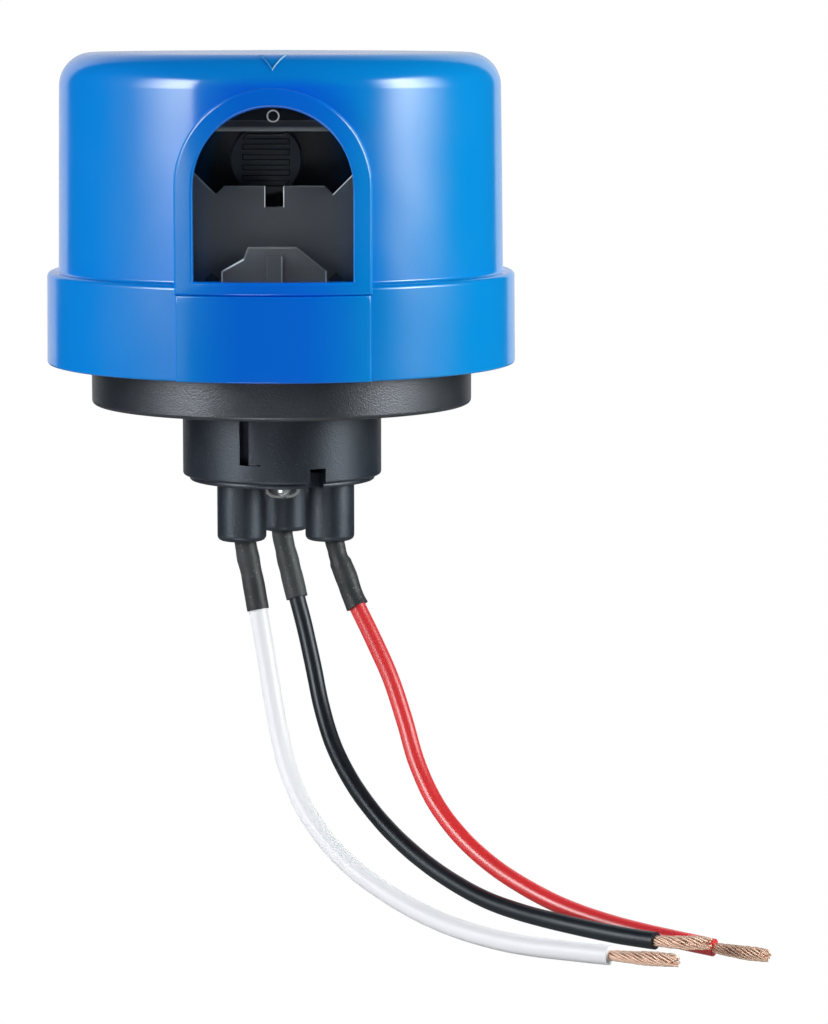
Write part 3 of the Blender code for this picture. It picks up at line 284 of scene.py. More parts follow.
def strands(name, route, first, last, seed):
    """Fine wires in layers, twisted together, with tips of slightly different lengths."""
    chance = random.Random(seed)
    line = stretch(route, first, last, STRAND_STEP)
    end = len(line) - 1
    curve = new_curve(name, 2)
    for count, reach in STRAND_LAYERS:
        for strand in range(count):
            short = chance.randrange(0, 4)
            start_turn = strand / count + chance.uniform(-0.02, 0.02)
            wander = chance.uniform(0.75, 1.25)
            places = []
            for index in range(len(line) - short):
                ahead = line[min(index + 1, end)] - line[max(index - 1, 0)]
                side, up = across(ahead.normalized())
                run = index / end
                open_up = 1.0 + BELLY * wander * math.sin(math.pi * min(1.0, run * 1.05)) * run
                turn = math.tau * (start_turn - run * (last - first) / STRAND_PITCH)
                flat = 1.0 + FLATTENING * run
                places.append(line[index] + open_up * reach * (
                    math.cos(turn) * side / flat + math.sin(turn) * up * flat
                ))
            add_line(curve, places, [STRAND_RADIUS] * len(places))
    return add_object(name, curve)


bare_ends = {}
for seed, (colour, route) in enumerate(ROUTES.items()):
    total = route_length(route)
    bare = total - BARE_LENGTHS[colour]
    bare_ends[colour] = strands(
        "strands_" + colour, route, bare - BARE_INSIDE, total - TIP_BACK, seed + STRAND_SEED
    )
print("strands in each lead:", sum(count for count, reach in STRAND_LAYERS))

for colour in LEAD_ROUTES:
    lead, sleeve, wires = leads[colour], sleeves[colour], bare_ends[colour]
    for piece, node, slot in (
        (lead, "lead_", colour + "_insulation"), (sleeve, "sleeve_", "shrink_sleeve"),
        (wires, "copper_", "bare_copper"),
    ):
        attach(piece, "receptacle")
        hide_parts(node + colour)
    middle = lead_lines[colour]
    print(colour, "insulation:", round(1000 * route_length(middle), 1), "mm")

# %% [markdown]
# ## Turning a section
#
# Nearly every moulding here is round. A turned part could start as a cylinder with cuts, but
# spinning its section about the axis gives all its steps at once. The section stays sharp, and each
# corner ring is then rounded by its own bevel, as a toolmaker would call out each radius.

# %% Helpers for mouldings
SHARP_ANGLE = math.radians(35)
DOUBLES = 2e-7
SAME_PLACE = 2e-6
STAND_UP = Matrix.Rotation(math.radians(90), 4, "X")


def sharpen(mesh):
    """Keep the edges above an angle sharp, and shade the others smooth."""
    mesh.set_sharp_from_angle(angle=SHARP_ANGLE)


def plain_object(name, bm):
    """Turn a bmesh into an object."""
    mesh = bpy.data.meshes.new(name)
    bm.to_mesh(mesh)
    bm.free()
    return add_object(name, mesh)


def mesh_object(name, bm):
    """Turn a bmesh into an object with smooth shading below the sharp angle."""
    piece = plain_object(name, bm)
    piece.data.shade_smooth()
    sharpen(piece.data)
    return piece


def close_up(bm):
    """Merge double points, and point the faces outwards."""
    bmesh.ops.remove_doubles(bm, verts=bm.verts[:], dist=DOUBLES)
    bmesh.ops.recalc_face_normals(bm, faces=bm.faces[:])


def finish_mesh(name, bm):
    """Turn a closed bmesh into an object with outward faces."""
    close_up(bm)
    return mesh_object(name, bm)


def even_shading(piece):
    """Let large faces set the shading, so that it does not sag next to a rounded edge."""
    modifier = piece.modifiers.new("even shading", "WEIGHTED_NORMAL")
    modifier.keep_sharp = True
    return piece


def round_edges(bm, edges, size, segments, clamp=False):
    """Round edges with a bevel."""
    return bmesh.ops.bevel(
        bm, geom=edges, offset=size, segments=segments, profile=0.5, affect="EDGES", material=-1,
        clamp_overlap=clamp,
    )


def extrude_faces(bm, shift):
    """Extrude every face by a shift, keep the first faces, and give the points that moved."""
    grown = bmesh.ops.extrude_face_region(bm, geom=bm.faces[:], use_keep_orig=True)
    moved = [item for item in grown["geom"] if isinstance(item, bmesh.types.BMVert)]
    bmesh.ops.translate(bm, verts=moved, vec=shift)
    return moved


def spin_section(bm, section, steps):
    """Spin a section of (radius, height) points about a vertical axis."""
    points = [bm.verts.new((radius, 0.0, height)) for radius, height in section]
    sides = [bm.edges.new(pair) for pair in zip(points, points[1:])]
    if section[0][0] > 0.0:
        sides.append(bm.edges.new((points[-1], points[0])))
    bmesh.ops.spin(
        bm, geom=points + sides, cent=(0, 0, 0), axis=(0, 0, 1), angle=math.tau, steps=steps,
        use_merge=True,
    )
    close_up(bm)


def ring_at(bm, radius, height):
    """The edges of the ring with this radius and height."""
    def fits(vert):
        return abs(vert.co.xy.length - radius) < SAME_PLACE and abs(vert.co.z - height) < SAME_PLACE
    return [edge for edge in bm.edges if all(fits(vert) for vert in edge.verts)]


def turned(section, rounds, steps=160):
    """A spun section with its named corner rings rounded: index, size and segments of each."""
    bm = bmesh.new()
    spin_section(bm, section, steps)
    for index, size, segments in rounds:
        round_edges(bm, ring_at(bm, *section[index]), size, segments)
    return bm


def carve(piece, cutter, operation="DIFFERENCE"):
    """Cut one mesh with another, keep the result and throw the cutter away."""
    modifier = piece.modifiers.new("carve", "BOOLEAN")
    modifier.operation = operation
    modifier.solver = "EXACT"
    modifier.object = cutter
    graph = bpy.context.evaluated_depsgraph_get()
    result = bpy.data.meshes.new_from_object(piece.evaluated_get(graph))
    piece.modifiers.clear()
    plain, piece.data = piece.data, result
    bpy.data.meshes.remove(plain)
    bpy.data.objects.remove(cutter)


def triangles(piece):
    """How many triangles a mesh piece has."""
    return sum(len(face.vertices) - 2 for face in piece.data.polygons)


# %% [markdown]
# ## The cap's shell
#
# The cap is one glossy blue moulding: a dome with a large top radius, a narrow ledge, and a skirt.
# It could be a subdivided cylinder, but the small ledge and the crisp skirt edge would need many
# holding loops. A spun section with a bevel on each ring keeps the walls straight and the radii true.

# %% Shell
SKIRT_BOTTOM = 0.00704
LEDGE_TOP = 0.02264
DOME_TOP = 0.05954
DOME_RADIUS = 0.0379
DOME_TOP_RADIUS = 0.0374
DOME_CORNER = 0.0055
SHELL_SECTION = (
    (0.0, DOME_TOP + 0.0004), (DOME_TOP_RADIUS, DOME_TOP), (DOME_RADIUS, LEDGE_TOP),
    (0.03985, LEDGE_TOP), (0.0400, SKIRT_BOTTOM), (0.0375, SKIRT_BOTTOM), (0.0375, 0.02044),
    (0.0357, 0.02044), (0.0352, 0.05734), (0.0, 0.05774),
)
shell_bm = turned(
    SHELL_SECTION,
    ((1, DOME_CORNER, 12), (2, 0.0005, 4), (3, 0.0008, 5), (4, 0.00035, 3), (8, 0.0033, 6)),
    steps=192,
)
shell = finish_mesh("cap_shell", shell_bm)
print("shell:", triangles(shell), "triangles")

# %% [markdown]
# ## The window frame
#
# A raised frame with a round head runs round the opening, and its face follows the skirt's curve.
# It could be cut out of a second ring with Booleans, but two arch-shaped loops of edges, bridged into
# a face, give clean quads that a bevel can round and a simple bend can lay on the cylinder.

# %% Arch loops
ARCH_CENTRE = 0.038286
SILL = 0.02324
FRAME_BOTTOM = 0.02104
FRAME_HALF = 0.01604
OPENING_HALF = 0.01294
FRAME_FACE = 0.0403
FRAME_DEPTH = 0.0032
FRAME_ROUND = 0.00045


def arch_loop(bm, half_width, low, head=40, side=12, foot=28):
    """A closed loop of edges at y = 0: a half circle, two straight sides and a foot."""
    first = bm.verts.new((half_width, 0, ARCH_CENTRE))
    spun = bmesh.ops.spin(
        bm, geom=[first], cent=(0, 0, ARCH_CENTRE), axis=(0, -1, 0), angle=math.pi, steps=head
    )
    last = [item for item in spun["geom_last"] if isinstance(item, bmesh.types.BMVert)][0]
    grown = bmesh.ops.extrude_vert_indiv(bm, verts=[first, last])
    for vert in grown["verts"]:
        vert.co.z = low
    base = bm.edges.new(grown["verts"])
    bmesh.ops.subdivide_edges(bm, edges=grown["edges"], cuts=side - 1)
    bmesh.ops.subdivide_edges(bm, edges=[base], cuts=foot - 1)


def lay_on_cylinder(bm, radius):
    """Bend a flat piece, modelled behind y = 0, so that its face lies on a cylinder."""
    for vert in bm.verts:
        vert.co.y -= math.sqrt(radius ** 2 - vert.co.x ** 2)


def give_depth(bm, depth):
    """Extrude every face back by a depth, and keep the face in front."""
    extrude_faces(bm, (0, depth, 0))
    bmesh.ops.recalc_face_normals(bm, faces=bm.faces[:])


def front_edges(bm):
    """The edges where the front face meets the sides."""
    return [
        edge for edge in bm.edges
        if all(abs(vert.co.y) < 1e-7 for vert in edge.verts)
        and edge.calc_face_angle(0.0) > math.radians(60)
    ]


frame_bm = bmesh.new()
arch_loop(frame_bm, FRAME_HALF, FRAME_BOTTOM)
arch_loop(frame_bm, OPENING_HALF, SILL)
bmesh.ops.bridge_loops(frame_bm, edges=frame_bm.edges[:])
give_depth(frame_bm, FRAME_DEPTH)
round_edges(frame_bm, front_edges(frame_bm), FRAME_ROUND, 4)
lay_on_cylinder(frame_bm, FRAME_FACE)
window_frame = finish_mesh("window_frame", frame_bm)
print("window frame:", triangles(window_frame), "triangles")

# %% [markdown]
# ## The panel below the window
#
# Under the frame a thin plate stands a hair proud of the skirt. It could be painted on with a bump,
# but its upright edges catch the light, so it is a real plate, laid on a slightly larger cylinder.

# %% Panel
PANEL_FACE = 0.0407
PANEL_HALF = 0.01579
PANEL_DEPTH = 0.0012
PANEL_ROUND = 0.00025

panel_bm = bmesh.new()
bmesh.ops.create_grid(
    panel_bm, x_segments=32, y_segments=10, size=1.0,
    matrix=Matrix.Translation((0, 0, (SKIRT_BOTTOM + FRAME_BOTTOM) / 2))
    @ Matrix.Diagonal((PANEL_HALF, 1, (FRAME_BOTTOM - SKIRT_BOTTOM) / 2, 1)) @ STAND_UP,
)
give_depth(panel_bm, PANEL_DEPTH)
round_edges(panel_bm, front_edges(panel_bm), PANEL_ROUND, 3)
lay_on_cylinder(panel_bm, PANEL_FACE)
panel = finish_mesh("panel", panel_bm)
print("panel:", triangles(panel), "triangles")

# %% [markdown]
# ## The opening
#
# The shell is cut away behind the frame, so that the pane fits between them. Cutting needs a
# cutter with the window's outline: the same arch loop, filled and given depth.

# %% Cut the opening
def arch_block(name, half_width, low, near, far):
    """A block with the window's outline between two distances in front of the axis."""
    bm = bmesh.new()
    arch_loop(bm, half_width, low)
    bmesh.ops.contextual_create(bm, geom=bm.edges[:])
    bmesh.ops.translate(bm, verts=bm.verts[:], vec=(0, near, 0))
    extrude_faces(bm, (0, far - near, 0))
    return finish_mesh(name, bm)


REBATE_HALF = 0.01474
REBATE_LOW = 0.02144
OPENING_REACH = (-0.046, -0.028)
carve(shell, arch_block("opening", REBATE_HALF, REBATE_LOW, *OPENING_REACH))
print("shell with its opening:", triangles(shell), "triangles")

# %% [markdown]
# ## The alignment mark
#
# A small raised V sits on the top radius, over the window. It shows which way the cap faces when it
# is turned. A V of two thin bars is drawn flat, then each point is laid on the top radius. The right
# bar turns its face to a lamp and gleams, so its faces carry a painted highlight in pale blue, and the
# left bar carries a fainter painted highlight.

# %% V mark
MARK_REACH = 0.0021
MARK_WIDTH = 0.00032
MARK_PROUD = 0.00020
MARK_FOOT = 34
MARK_SPAN = 41


def on_top_radius(x, arc, lift):
    """A point on the dome's top radius, by its arc in radians above the horizontal."""
    radius = DOME_TOP_RADIUS - DOME_CORNER + (DOME_CORNER + lift) * math.cos(arc)
    height = DOME_TOP - DOME_CORNER + (DOME_CORNER + lift) * math.sin(arc)
    return Vector((x, -math.sqrt(radius ** 2 - x ** 2), height))


mark_bm = bmesh.new()
for side in (-1, 1):
    bar = bmesh.ops.create_grid(mark_bm, x_segments=14, y_segments=1, size=0.5)["verts"]
    for vert in bar:
        along, wide = vert.co.x + 0.5, vert.co.y
        vert.co = (side * MARK_REACH * along, wide * MARK_WIDTH, along)
risen = set(extrude_faces(mark_bm, (0, 0, 0)))
for vert in mark_bm.verts:
    x, wide, along = vert.co
    arc = math.radians(MARK_FOOT + MARK_SPAN * along) + wide / DOME_CORNER
    vert.co = on_top_radius(x, arc, MARK_PROUD if vert in risen else -MARK_PROUD)
# Painted highlights: the right bar is painted pale blue, the left bar a fainter pale blue.
for face in mark_bm.faces:
    face.material_index = 1 if face.calc_center_median().x > 0 else 2
mark = finish_mesh("top_mark", mark_bm)
print("mark:", triangles(mark), "triangles")


# %% Join the cap
def join(pieces, name):
    """Make one object of several meshes."""
    bm = bmesh.new()
    for piece in pieces:
        bm.from_mesh(piece.data)
        mesh = piece.data
        bpy.data.objects.remove(piece)
        bpy.data.meshes.remove(mesh)
    return mesh_object(name, bm)


cap = even_shading(join([shell, window_frame, panel, mark], "cap"))
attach(cap, "photocell")
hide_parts("housing")
print("cap:", triangles(cap), "triangles")

# %% [markdown]
# ## The pane
#
# The pane is a clear moulding behind the frame, bent to the dome. It could be a flat sheet, but the
# curve gives the reflections their slant. A strip spun through an arc makes the bent sheet, and the
# arch outline trims it.

# %% Pane
PANE_FACE = 0.0369
PANE_THICKNESS = 0.0015
PANE_LAP = 0.0015
PANE_FOOT, PANE_HEAD = 0.018, 0.056
PANE_TURN = 54
PANE_TRIM = (-0.040, -0.030)

pane_bm = bmesh.new()
corners = [
    pane_bm.verts.new((0, -radius, height)) for radius, height in (
        (PANE_FACE - PANE_THICKNESS, PANE_FOOT), (PANE_FACE, PANE_FOOT),
        (PANE_FACE, PANE_HEAD), (PANE_FACE - PANE_THICKNESS, PANE_HEAD),
    )
]
section = pane_bm.faces.new(corners)
bmesh.ops.rotate(
    pane_bm, verts=corners, cent=(0, 0, 0), matrix=Matrix.Rotation(math.radians(-PANE_TURN / 2), 3, "Z")
)
bmesh.ops.spin(
    pane_bm, geom=[section, *section.edges, *corners], cent=(0, 0, 0), axis=(0, 0, 1),
    angle=math.radians(PANE_TURN), steps=48,
)
pane = finish_mesh("window_pane", pane_bm)
carve(pane, arch_block("pane_outline", OPENING_HALF + PANE_LAP, SILL - PANE_LAP, *PANE_TRIM), "INTERSECT")
sharpen(pane.data)
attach(pane, "photocell")
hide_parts("window_lens")
print("pane:", triangles(pane), "triangles")

# %% [markdown]
# ## The receptacle
#
# The receptacle is a thick flange on a neck, moulded in black and slightly speckled. Its neck has a
# tall slot with a hair-line slit at its foot, and a square notch that runs on into the guide below.
# All three are cut with thin blocks turned to their places round the axis.

# %% Flange and neck
FLANGE_RADIUS = 0.0325
FLANGE_TOP = 0.0074
NECK_RADIUS = 0.01705
NECK_END = -0.01236
RECESS_RADIUS = 0.0149
RECESS_CEILING = -0.00936
BODY_SECTION = (
    (0.0, FLANGE_TOP), (FLANGE_RADIUS, FLANGE_TOP), (FLANGE_RADIUS, 0.0), (NECK_RADIUS, 0.0),
    (NECK_RADIUS, NECK_END), (RECESS_RADIUS, NECK_END), (RECESS_RADIUS, RECESS_CEILING),
    (0.0, RECESS_CEILING),
)
body_bm = turned(
    BODY_SECTION, ((1, 0.0006, 4), (2, 0.0007, 5), (3, 0.0005, 4), (4, 0.00045, 4), (5, 0.0002, 2)),
    steps=160,
)
receptacle = finish_mesh("receptacle_moulding", body_bm)


def block(bm, low, high, angle=0.0):
    """A box between two corners, turned about the main axis."""
    size = Vector(high) - Vector(low)
    middle = (Vector(high) + Vector(low)) / 2
    place = Matrix.Rotation(math.radians(angle), 4, "Z") @ Matrix.Translation(middle)
    bmesh.ops.create_cube(bm, size=1.0, matrix=place @ Matrix.Diagonal((*size, 1)))


def cut_block(piece, name, low, high, angle):
    """Cut a turned box out of a piece."""
    bm = bmesh.new()
    block(bm, low, high, angle)
    carve(piece, finish_mesh(name, bm))


OVERCUT = 0.001
OUTSIDE = -NECK_RADIUS - OVERCUT
SLOT_ANGLE = -20.0
SLOT_HALF = 0.00085
SLOT_LENGTH = 0.0092
SLOT_BACK = 0.0018 - NECK_RADIUS
SLIT_LENGTH = 0.0020
SLIT_HEIGHT = 0.0003
NOTCH_ANGLE = 22.7
NOTCH_HALF = 0.0014
NOTCH_HEIGHT = 0.0026
NOTCH_BACK = 0.0032 - NECK_RADIUS

for name, low, high, angle in (
    ("slot", (-SLOT_HALF, OUTSIDE, -SLOT_LENGTH), (SLOT_HALF, SLOT_BACK, 0.0), SLOT_ANGLE),
    (
        "slit", (0.0, OUTSIDE, -SLOT_LENGTH),
        (SLOT_HALF + SLIT_LENGTH, SLOT_BACK, SLIT_HEIGHT - SLOT_LENGTH), SLOT_ANGLE,
    ),
    (
        "notch", (-NOTCH_HALF, OUTSIDE, NECK_END - OVERCUT),
        (NOTCH_HALF, NOTCH_BACK, NECK_END + NOTCH_HEIGHT), NOTCH_ANGLE,
    ),
):
    cut_block(receptacle, name, low, high, angle)
sharpen(receptacle.data)
even_shading(receptacle)
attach(receptacle, "receptacle")
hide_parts("receptacle_body")
print("receptacle:", triangles(receptacle), "triangles")

# %% [markdown]
# ## The wire guide
#
# A stepped cover closes the neck, and its three hollow bosses lead the wires out. It could be one
# sculpted mesh, but the real one is a disc with three tubes, so it is made that way: a spun ring and
# three spun rods set on their circle, joined and bored with Booleans, then notched like the neck.

# %% Wire guide
RIM_RADIUS = 0.0159
RIM_TOP = -0.01240
RIM_BOTTOM = -0.01326
SPIGOT_RADIUS = 0.0146
SPIGOT_TOP = -0.01076
SCREW_HOLE = 0.00155
BOSS_RADIUS = 0.0042
BOSS_BORE = 0.0029
BOSS_ROOT = -0.0130
BORE_TOP = -0.0100

guide_bm = turned(
    (
        (SCREW_HOLE, SPIGOT_TOP), (SPIGOT_RADIUS, SPIGOT_TOP), (SPIGOT_RADIUS, RIM_TOP),
        (RIM_RADIUS, RIM_TOP), (RIM_RADIUS, RIM_BOTTOM), (SCREW_HOLE, RIM_BOTTOM),
    ),
    ((3, 0.0002, 2), (4, 0.0003, 3)),
    steps=144,
)
guide = finish_mesh("wire_guide_moulding", guide_bm)


def boss_rod(name, colour, radius, top, bottom, rounds, steps):
    """An upright rod in the place of a lead's boss."""
    bm = turned(((0.0, top), (radius, top), (radius, bottom), (0.0, bottom)), rounds, steps)
    bmesh.ops.translate(bm, verts=bm.verts[:], vec=boss_middle(colour))
    return finish_mesh(name, bm)


for colour in BOSS_ANGLES:
    carve(guide, boss_rod("boss", colour, BOSS_RADIUS, BOSS_ROOT, BOSS_END, ((2, 0.0009, 6),), 48), "UNION")
for colour in BOSS_ANGLES:
    carve(guide, boss_rod("bore", colour, BOSS_BORE, BORE_TOP, BOSS_END - OVERCUT, (), 40))
cut_block(
    guide, "guide_notch", (-NOTCH_HALF, -NECK_RADIUS, RIM_BOTTOM - OVERCUT),
    (NOTCH_HALF, NOTCH_BACK, SPIGOT_TOP + OVERCUT), NOTCH_ANGLE,
)
sharpen(guide.data)
even_shading(guide)
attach(guide, "receptacle")
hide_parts("wire_guide")
print("wire guide:", triangles(guide), "triangles")

# %% [markdown]
# ## The screw in the guide
#
# One bright pan-head screw holds the guide. Its head is a spun dome, and its cross recess is two
# tapered blocks cut out of it.

# %% Screw
HEAD_RADIUS = 0.0031
HEAD_SEAT = -0.01356
HEAD_HEIGHT = 0.0031
SHANK_RADIUS = 0.00125
SHANK_TOP = -0.00306
HEAD_END = HEAD_SEAT - HEAD_HEIGHT
CROSS_ANGLES = (20, 110)
ARM_LOW = Vector((-0.00155, -0.00028, -0.0005))
ARM_HIGH = Vector((0.00155, 0.00028, 0.0011))
ARM_TAPER = 0.45

screw_bm = turned(
    (
        (0.0, SHANK_TOP), (SHANK_RADIUS, SHANK_TOP), (SHANK_RADIUS, HEAD_SEAT), (HEAD_RADIUS, HEAD_SEAT),
        (HEAD_RADIUS, HEAD_END), (0.0, HEAD_END),
    ),
    ((4, 0.0018, 8), (3, 0.0001, 2)),
    steps=48,
)
screw = finish_mesh("guide_screw_head", screw_bm)
for angle in CROSS_ANGLES:
    arm_bm = bmesh.new()
    block(arm_bm, ARM_LOW, ARM_HIGH)
    for vert in arm_bm.verts:
        if vert.co.z > 0:
            vert.co.x *= ARM_TAPER
    bmesh.ops.rotate(
        arm_bm, verts=arm_bm.verts[:], cent=(0, 0, 0), matrix=Matrix.Rotation(math.radians(angle), 3, "Z")
    )
    bmesh.ops.translate(arm_bm, verts=arm_bm.verts[:], vec=(0, 0, HEAD_END))
    carve(screw, finish_mesh("cross_arm", arm_bm))
sharpen(screw.data)
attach(screw, "receptacle")
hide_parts("guide_screw")
print("screw:", triangles(screw), "triangles")

# %% [markdown]
# ## Behind the window
#
# Through the pane you see a dark hood with a beaded lip, the round sensor, an upright baffle with a
# slot and two notches, and a clear latch. They are flat mouldings, so each is a flat outline given
# depth. Their cut edges were left glossy by the mould and glint where they face a lamp. A highlight
# painted on the flat faces would slide off the corners, so the faces that the bevel makes carry
# painted highlights instead: a near-white or a grey finish wherever the real edge shines.

# %% Flat mouldings
EDGE_SIZE = 0.00015


def sheet(bm, outline, front, depth, finish=0):
    """A flat outline of (x, z) points, given depth behind its front, and all in one finish."""
    part = bmesh.new()
    part.faces.new([part.verts.new((x, front, z)) for x, z in outline])
    give_depth(part, depth)
    for face in part.faces:
        face.material_index = finish
    merge_in(bm, part)


def merge_in(bm, part):
    """Add one bmesh to another."""
    mesh = bpy.data.meshes.new("part")
    part.to_mesh(mesh)
    part.free()
    bm.from_mesh(mesh)
    bpy.data.meshes.remove(mesh)


def edge_glints(bm, size, glints):
    """Round all edges, and paint the new faces in each box of x and z with the box's painted highlight."""
    for face in round_edges(bm, bm.edges[:], size, 2, clamp=True)["faces"]:
        middle = face.calc_center_median()
        for finish, (x_low, x_high), (z_low, z_high) in glints:
            if x_low < middle.x < x_high and z_low < middle.z < z_high:
                face.material_index = finish


def mirrored(outline):
    """An outline's right half with its mirror image."""
    return outline + [(-x, z) for x, z in reversed(outline)]


# Slot indices: a near-white and a grey painted highlight, then a dark and a grey plastic.
PAINTED_GLINT, FAINT_PAINTED_GLINT, DARK, GREY = 1, 2, 3, 4
PARTS_LEVEL = 0.0185
BAFFLE_FRONT = -0.0310
BAFFLE_THICKNESS = 0.0014
BAFFLE_TOP = 0.038386
BAFFLE_HALF = 0.01479
BAFFLE_SLOT = 0.00145
SLOT_FOOT = BAFFLE_TOP - 0.0034
NOTCH_PLACE = 0.00945
NOTCH_SINK = 0.00135
NOTCH_FOOT = BAFFLE_TOP - NOTCH_SINK
WING_TOP = NOTCH_FOOT + BAFFLE_HALF - NOTCH_PLACE
NEAR = 0.0003
baffle_bm = bmesh.new()
sheet(baffle_bm, mirrored([
    (BAFFLE_SLOT, SLOT_FOOT), (BAFFLE_SLOT, BAFFLE_TOP), (NOTCH_PLACE - NOTCH_SINK, BAFFLE_TOP),
    (NOTCH_PLACE, NOTCH_FOOT), (BAFFLE_HALF, WING_TOP), (BAFFLE_HALF, PARTS_LEVEL),
]), BAFFLE_FRONT, BAFFLE_THICKNESS)
edge_glints(baffle_bm, EDGE_SIZE, (
    (FAINT_PAINTED_GLINT, (-0.0082, 0.0082), (BAFFLE_TOP - NEAR, BAFFLE_TOP + NEAR)),
    (PAINTED_GLINT, (-BAFFLE_SLOT - NEAR, -BAFFLE_SLOT + NEAR), (SLOT_FOOT + 0.0001, BAFFLE_TOP)),
    (PAINTED_GLINT, (BAFFLE_SLOT - NEAR, BAFFLE_SLOT + NEAR), (SLOT_FOOT + 0.0001, BAFFLE_TOP)),
    (PAINTED_GLINT, (NOTCH_PLACE, BAFFLE_HALF - 0.0008), (NOTCH_FOOT, 0.043)),
    (FAINT_PAINTED_GLINT, (0.0008 - BAFFLE_HALF, -NOTCH_PLACE), (NOTCH_FOOT, 0.043)),
))
baffle = finish_mesh("baffle_plate", baffle_bm)
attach(baffle, "photocell")
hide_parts("light_baffle")

LATCH_HALF = 0.0085
LATCH_FRONT = -0.0336
LATCH_THICKNESS = 0.0011
LATCH_TOP = SILL + 0.0054
LATCH_ROUND = 0.00026
LEFT_CORNER = SILL + 0.0035
SHOULDER = SILL + 0.0015
CATCH_TOP = SILL + 0.0041
CATCH_PROUD = 0.0006
CATCH_THICKNESS = 0.0008
FOOT_IN, FOOT_MIDDLE, FOOT_OUT = 0.0088, 0.0100, 0.0111
FOOT_LOW, FOOT_HIGH = SILL + 0.0003, SILL + 0.0013
latch_bm = bmesh.new()
sheet(latch_bm, [
    (LATCH_HALF, PARTS_LEVEL), (LATCH_HALF, SHOULDER), (0.0037, LATCH_TOP), (-0.0042, LATCH_TOP),
    (-0.0049, LEFT_CORNER), (-LATCH_HALF, SHOULDER), (-LATCH_HALF, PARTS_LEVEL),
], LATCH_FRONT, LATCH_THICKNESS)
sheet(latch_bm, [
    (-0.0012, PARTS_LEVEL), (0.0014, PARTS_LEVEL), (0.0014, CATCH_TOP), (-0.0012, CATCH_TOP),
], LATCH_FRONT - CATCH_PROUD, CATCH_THICKNESS, GREY)
edge_glints(latch_bm, LATCH_ROUND, (
    (FAINT_PAINTED_GLINT, (0.0012, 0.0016), (PARTS_LEVEL, SILL + 0.0034)),
    (PAINTED_GLINT, (-0.0092, -0.0055), (PARTS_LEVEL, SILL + 0.0033)),
    (PAINTED_GLINT, (LATCH_HALF - 0.0005, LATCH_HALF + 0.0005), (PARTS_LEVEL, SHOULDER + NEAR)),
    (FAINT_PAINTED_GLINT, (0.0042, LATCH_HALF - 0.0006), (SHOULDER, LATCH_TOP)),
    (FAINT_PAINTED_GLINT, (-0.0052, -0.0040), (SILL + 0.0033, LATCH_TOP)),
    (FAINT_PAINTED_GLINT, (-0.0036, 0.0036), (LATCH_TOP - 0.0004, LATCH_TOP + 0.0004)),
))
for side in (-1, 1):
    sheet(latch_bm, [
        (side * FOOT_IN, FOOT_LOW), (side * FOOT_MIDDLE, FOOT_HIGH), (side * FOOT_OUT, FOOT_LOW),
        (side * FOOT_OUT, PARTS_LEVEL), (side * FOOT_IN, PARTS_LEVEL),
    ], LATCH_FRONT, LATCH_THICKNESS, DARK)
latch = finish_mesh("latch_plate", latch_bm)
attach(latch, "photocell")
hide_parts("lens_latch")
print("baffle and latch:", triangles(baffle) + triangles(latch), "triangles")

# %% Hood with its ring mark
HOOD_HALF = 0.01339
LIP_FACE = -0.0316
LIP_FOOT = 0.04724
LIP_TOP = 0.05344
LIP_BACK = -0.0304
WEB_BACK, WEB_FRONT = -0.0231, -0.0219
ROOF_LOW, ROOF_HIGH = 0.04879, 0.04999
BEAD_FACE = -0.0322
BEAD_TOP = LIP_FOOT + 0.0006
BEAD_END = LIP_FOOT + 0.0016
LIP_PAINTED_SHEEN = 3
hood_section = (
    (WEB_BACK, PARTS_LEVEL), (WEB_FRONT, PARTS_LEVEL), (WEB_FRONT, ROOF_HIGH), (LIP_BACK, ROOF_HIGH),
    (LIP_BACK, LIP_TOP), (LIP_FACE, LIP_TOP), (LIP_FACE, BEAD_END), (BEAD_FACE, BEAD_TOP),
    (BEAD_FACE, LIP_FOOT), (LIP_BACK, LIP_FOOT), (LIP_BACK, ROOF_LOW), (WEB_BACK, ROOF_LOW),
)
hood_bm = bmesh.new()
hood_bm.faces.new([hood_bm.verts.new((-HOOD_HALF, y, z)) for y, z in hood_section])
extrude_faces(hood_bm, (2 * HOOD_HALF, 0, 0))
bmesh.ops.recalc_face_normals(hood_bm, faces=hood_bm.faces[:])
round_edges(hood_bm, hood_bm.edges[:], EDGE_SIZE, 2)
# Painted highlight: the bead's front takes the grey painted glint, and the slope above it a grey painted
# sheen.
for face in hood_bm.faces:
    middle = face.calc_center_median()
    if middle.y < LIP_FACE + 0.0001 and middle.z < BEAD_END + 0.0001:
        face.material_index = FAINT_PAINTED_GLINT if middle.z < BEAD_TOP + 0.0001 else LIP_PAINTED_SHEEN

RING_RADIUS = 0.00092
RING_WIRE = 0.00013
RING_PLACE = (-0.0001, LIP_FACE, 0.04967)
ring_bm = bmesh.new()
bmesh.ops.create_circle(
    ring_bm, segments=8, radius=RING_WIRE,
    matrix=Matrix.Translation((RING_RADIUS, 0, 0)) @ STAND_UP,
)
bmesh.ops.spin(
    ring_bm, geom=ring_bm.verts[:] + ring_bm.edges[:], cent=(0, 0, 0), axis=(0, 0, 1), angle=math.tau,
    steps=40, use_merge=True,
)
bmesh.ops.transform(ring_bm, verts=ring_bm.verts[:], matrix=Matrix.Translation(RING_PLACE) @ STAND_UP)
close_up(ring_bm)
# Painted highlight: the ring mark is all near-white painted glint.
for face in ring_bm.faces:
    face.material_index = PAINTED_GLINT
merge_in(hood_bm, ring_bm)
hood = finish_mesh("hood_moulding", hood_bm)
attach(hood, "photocell")
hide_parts("sensor_hood")
print("hood:", triangles(hood), "triangles")

